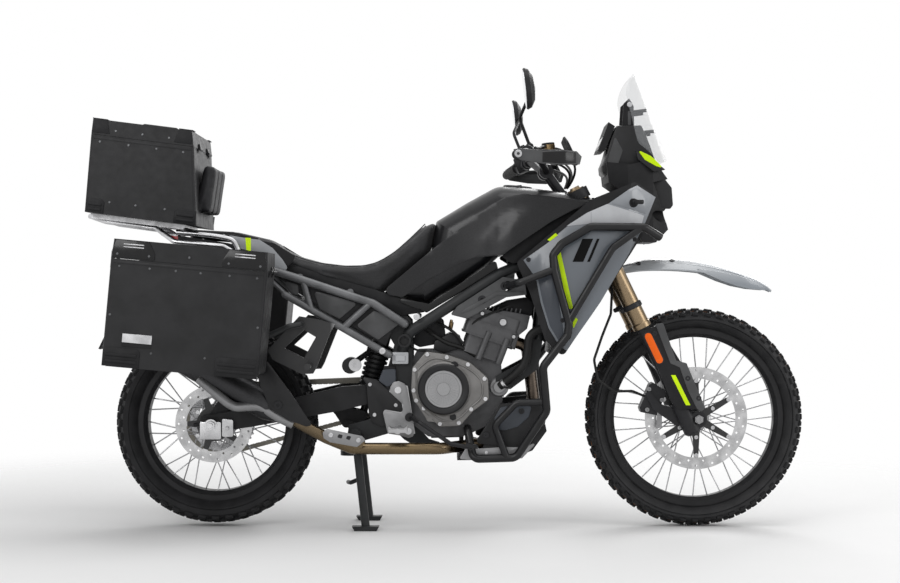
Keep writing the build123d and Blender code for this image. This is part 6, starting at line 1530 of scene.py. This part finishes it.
def makeAxleTrim():
    x, z = rear["axle"]
    plates = [panel(rear["adjusterBack"], 0.1575, 0.1620, 0.001, 0.005),
              panel(rear["adjusterFront"], 0.1575, 0.1605, 0.001, 0.005)]
    finished(joined("plates", plates), "chainAdjusters", "chassis", "rack_alloy", look=bareSteel)
    nut = [stud((x, -0.1615, z), (0, -1, 0), 0.020, 0.003, 32, 0.0008),
           stud((x, -0.164, z), (0, -1, 0), 0.0155, 0.010, 6, 0.001),
           stud((x, -0.172, z), (0, -1, 0), 0.009, 0.007, 24, 0.001),
           block((-0.676, -0.166, 0.320), (0.010, 0.016, 0.010))]
    finished(mirrored(joined("nut", nut)), "rearAxleNuts", "chassis", "rack_alloy", look=bareSteel)
    bolts = ringOf(stud((x + 0.062, -0.0965, z), (0, -1, 0), 0.007, 0.004, 12, 0.0008, 0.5), 5, (x, 0, z))
    finished(bolts, "rearDiscBolts", "rear_wheel", "disc_steel", look=bareSteel)
    nuts = ringOf(stud((x + 0.062, 0.0955, z), (0, 1, 0), 0.008, 0.006, 6, 0.0008), 5, (x, 0, z))
    finished(nuts, "sprocketNuts", "rear_wheel", "disc_steel", look=bareSteel)


def makeChainPlates():
    # side plates of the links, outer and inner in turn, round both sprockets
    back, front = Vector(rear["axle"]), Vector(rear["pinion"])
    big, small = rear["sprocketRadius"], rear["pinionRadius"]
    way = front - back
    span, lean = way.length, math.atan2(way.y, way.x)
    swing = math.acos((big - small) / span)
    run = math.sqrt(span ** 2 - (big - small) ** 2)
    wraps = (2 * math.pi - 2 * swing) * big, 2 * swing * small
    total = 2 * run + sum(wraps)

    def at(length):
        # place and heading along the loop, from the top of the rear sprocket forward
        length %= total
        normal = lean + swing
        if length < run:
            start = back + Vector((math.cos(normal), math.sin(normal))) * big
            return start + Vector((math.sin(normal), -math.cos(normal))) * length, normal - math.pi / 2
        length -= run
        if length < wraps[1]:
            turn = normal - length / small
            return front + Vector((math.cos(turn), math.sin(turn))) * small, turn - math.pi / 2
        length -= wraps[1]
        normal = lean - swing
        if length < run:
            start = front + Vector((math.cos(normal), math.sin(normal))) * small
            return start + Vector((math.sin(normal), -math.cos(normal))) * length, normal - math.pi / 2
        turn = normal - (length - run) / big
        return back + Vector((math.cos(turn), math.sin(turn))) * big, turn - math.pi / 2

    first = plate(rounded(rear["linkPlate"], 0.002, 1), 0.0078, 0.0092, 0)
    links = []
    for number in range(rear["links"]):
        place, heading = at(total * number / rear["links"])
        inset = rear["linkInset"] * (number % 2)
        for across in (-inset, inset - rear["linkGap"]):
            link = copied(first)
            link.data.transform(Matrix.Rotation(-heading, 4, "Y"))
            link.data.transform(Matrix.Translation((place.x, rear["chainY"] + across, place.y)))
            links.append(link)
    bpy.data.objects.remove(first)
    finished(joined("links", links), "chainPlates", "chassis", "chain_steel", smooth=20)


panelGrey = flatColour("panel_grey", (0.29, 0.30, 0.315))

makeTail()
makeSidePanels()
makeExhaustTrim()
makeAxleTrim()
makeChainPlates()
print("tail, exhaust and chain")


# studio: a round floor that melts into a white room, four soft boxes and the camera at the side
studio = dict(
    floorRadius=3.4, floorFade=(1.3, 3.1), cameraPlace=(0.008, -5.4, 0.740), lens=68.16,
    boxes=(("topBox", (0.2, -0.4, 3.4), (0.1, 0, 0.6), 3.2, 2.2, 42),
           ("keyBox", (-2.2, -3.6, 2.4), (0, 0, 0.7), 2.0, 1.6, 50),
           ("rimBox", (1.5, 3.2, 2.6), (0.1, 0, 0.8), 2.4, 1.6, 60),
           ("frontBox", (3.6, -1.8, 1.6), (0.4, 0, 0.7), 1.6, 1.6, 30)),
)


def makeFloor():
    material, tree, shader, coords = newFinish("floorCard")
    centred = wire(tree, "ShaderNodeVectorMath", {"operation": "LENGTH"}, Vector=coords).outputs["Value"]
    near, far = studio["floorFade"]
    edge = wire(tree, "ShaderNodeMapRange", {"interpolation_type": "SMOOTHSTEP"}, _0=centred, _1=near, _2=far,
                _3=1.0, _4=0.0).outputs[0]
    tone = mixed(tree, noise(tree, coords, 0.3), (0.86, 0.86, 0.86), (0.88, 0.88, 0.88))
    tree.links.new(tone, shader.inputs["Base Color"])
    shader.inputs["Roughness"].default_value = 0.9
    tree.links.new(edge, shader.inputs["Alpha"])
    bpy.ops.mesh.primitive_circle_add(vertices=96, radius=studio["floorRadius"], fill_type="NGON",
                                      location=(0, 0, 0))
    floor = bpy.context.object
    floor.name = "studioFloor"
    floor.data.materials.append(material)


def makeLights():
    world = bpy.data.worlds.new("whiteRoom")
    bpy.context.scene.world = world
    world.use_nodes = True
    tree = world.node_tree
    back = tree.nodes["Background"]
    path = tree.nodes.new("ShaderNodeLightPath")
    seen = wire(tree, "ShaderNodeMath", {"operation": "MAXIMUM"}, _0=path.outputs["Is Camera Ray"],
                _1=path.outputs["Is Glossy Ray"]).outputs[0]
    seen = wire(tree, "ShaderNodeMath", {"operation": "MAXIMUM"}, _0=seen,
                _1=path.outputs["Is Transmission Ray"]).outputs[0]
    strength = wire(tree, "ShaderNodeMapRange", _0=seen, _1=0.0, _2=1.0, _3=0.45, _4=1.0).outputs[0]
    back.inputs["Color"].default_value = (1, 1, 1, 1)
    tree.links.new(strength, back.inputs["Strength"])
    for name, place, target, wide, high, power in studio["boxes"]:
        lamp = bpy.data.lights.new(name, "AREA")
        lamp.shape, lamp.size, lamp.size_y, lamp.energy = "RECTANGLE", wide, high, power
        holder = bpy.data.objects.new(name, lamp)
        bpy.context.scene.collection.objects.link(holder)
        holder.location = place
        holder.rotation_euler = (Vector(target) - Vector(place)).to_track_quat("-Z", "Y").to_euler()


def makeCamera():
    view = bpy.data.cameras.new("sideView")
    view.lens, view.sensor_width = studio["lens"], 36
    holder = bpy.data.objects.new("sideView", view)
    bpy.context.scene.collection.objects.link(holder)
    holder.location = studio["cameraPlace"]
    holder.rotation_euler = (math.radians(90), 0, 0)
    bpy.context.scene.camera = holder


makeFloor()
makeLights()
makeCamera()
bpy.context.scene.view_settings.view_transform = "Standard"
print("studio ready")
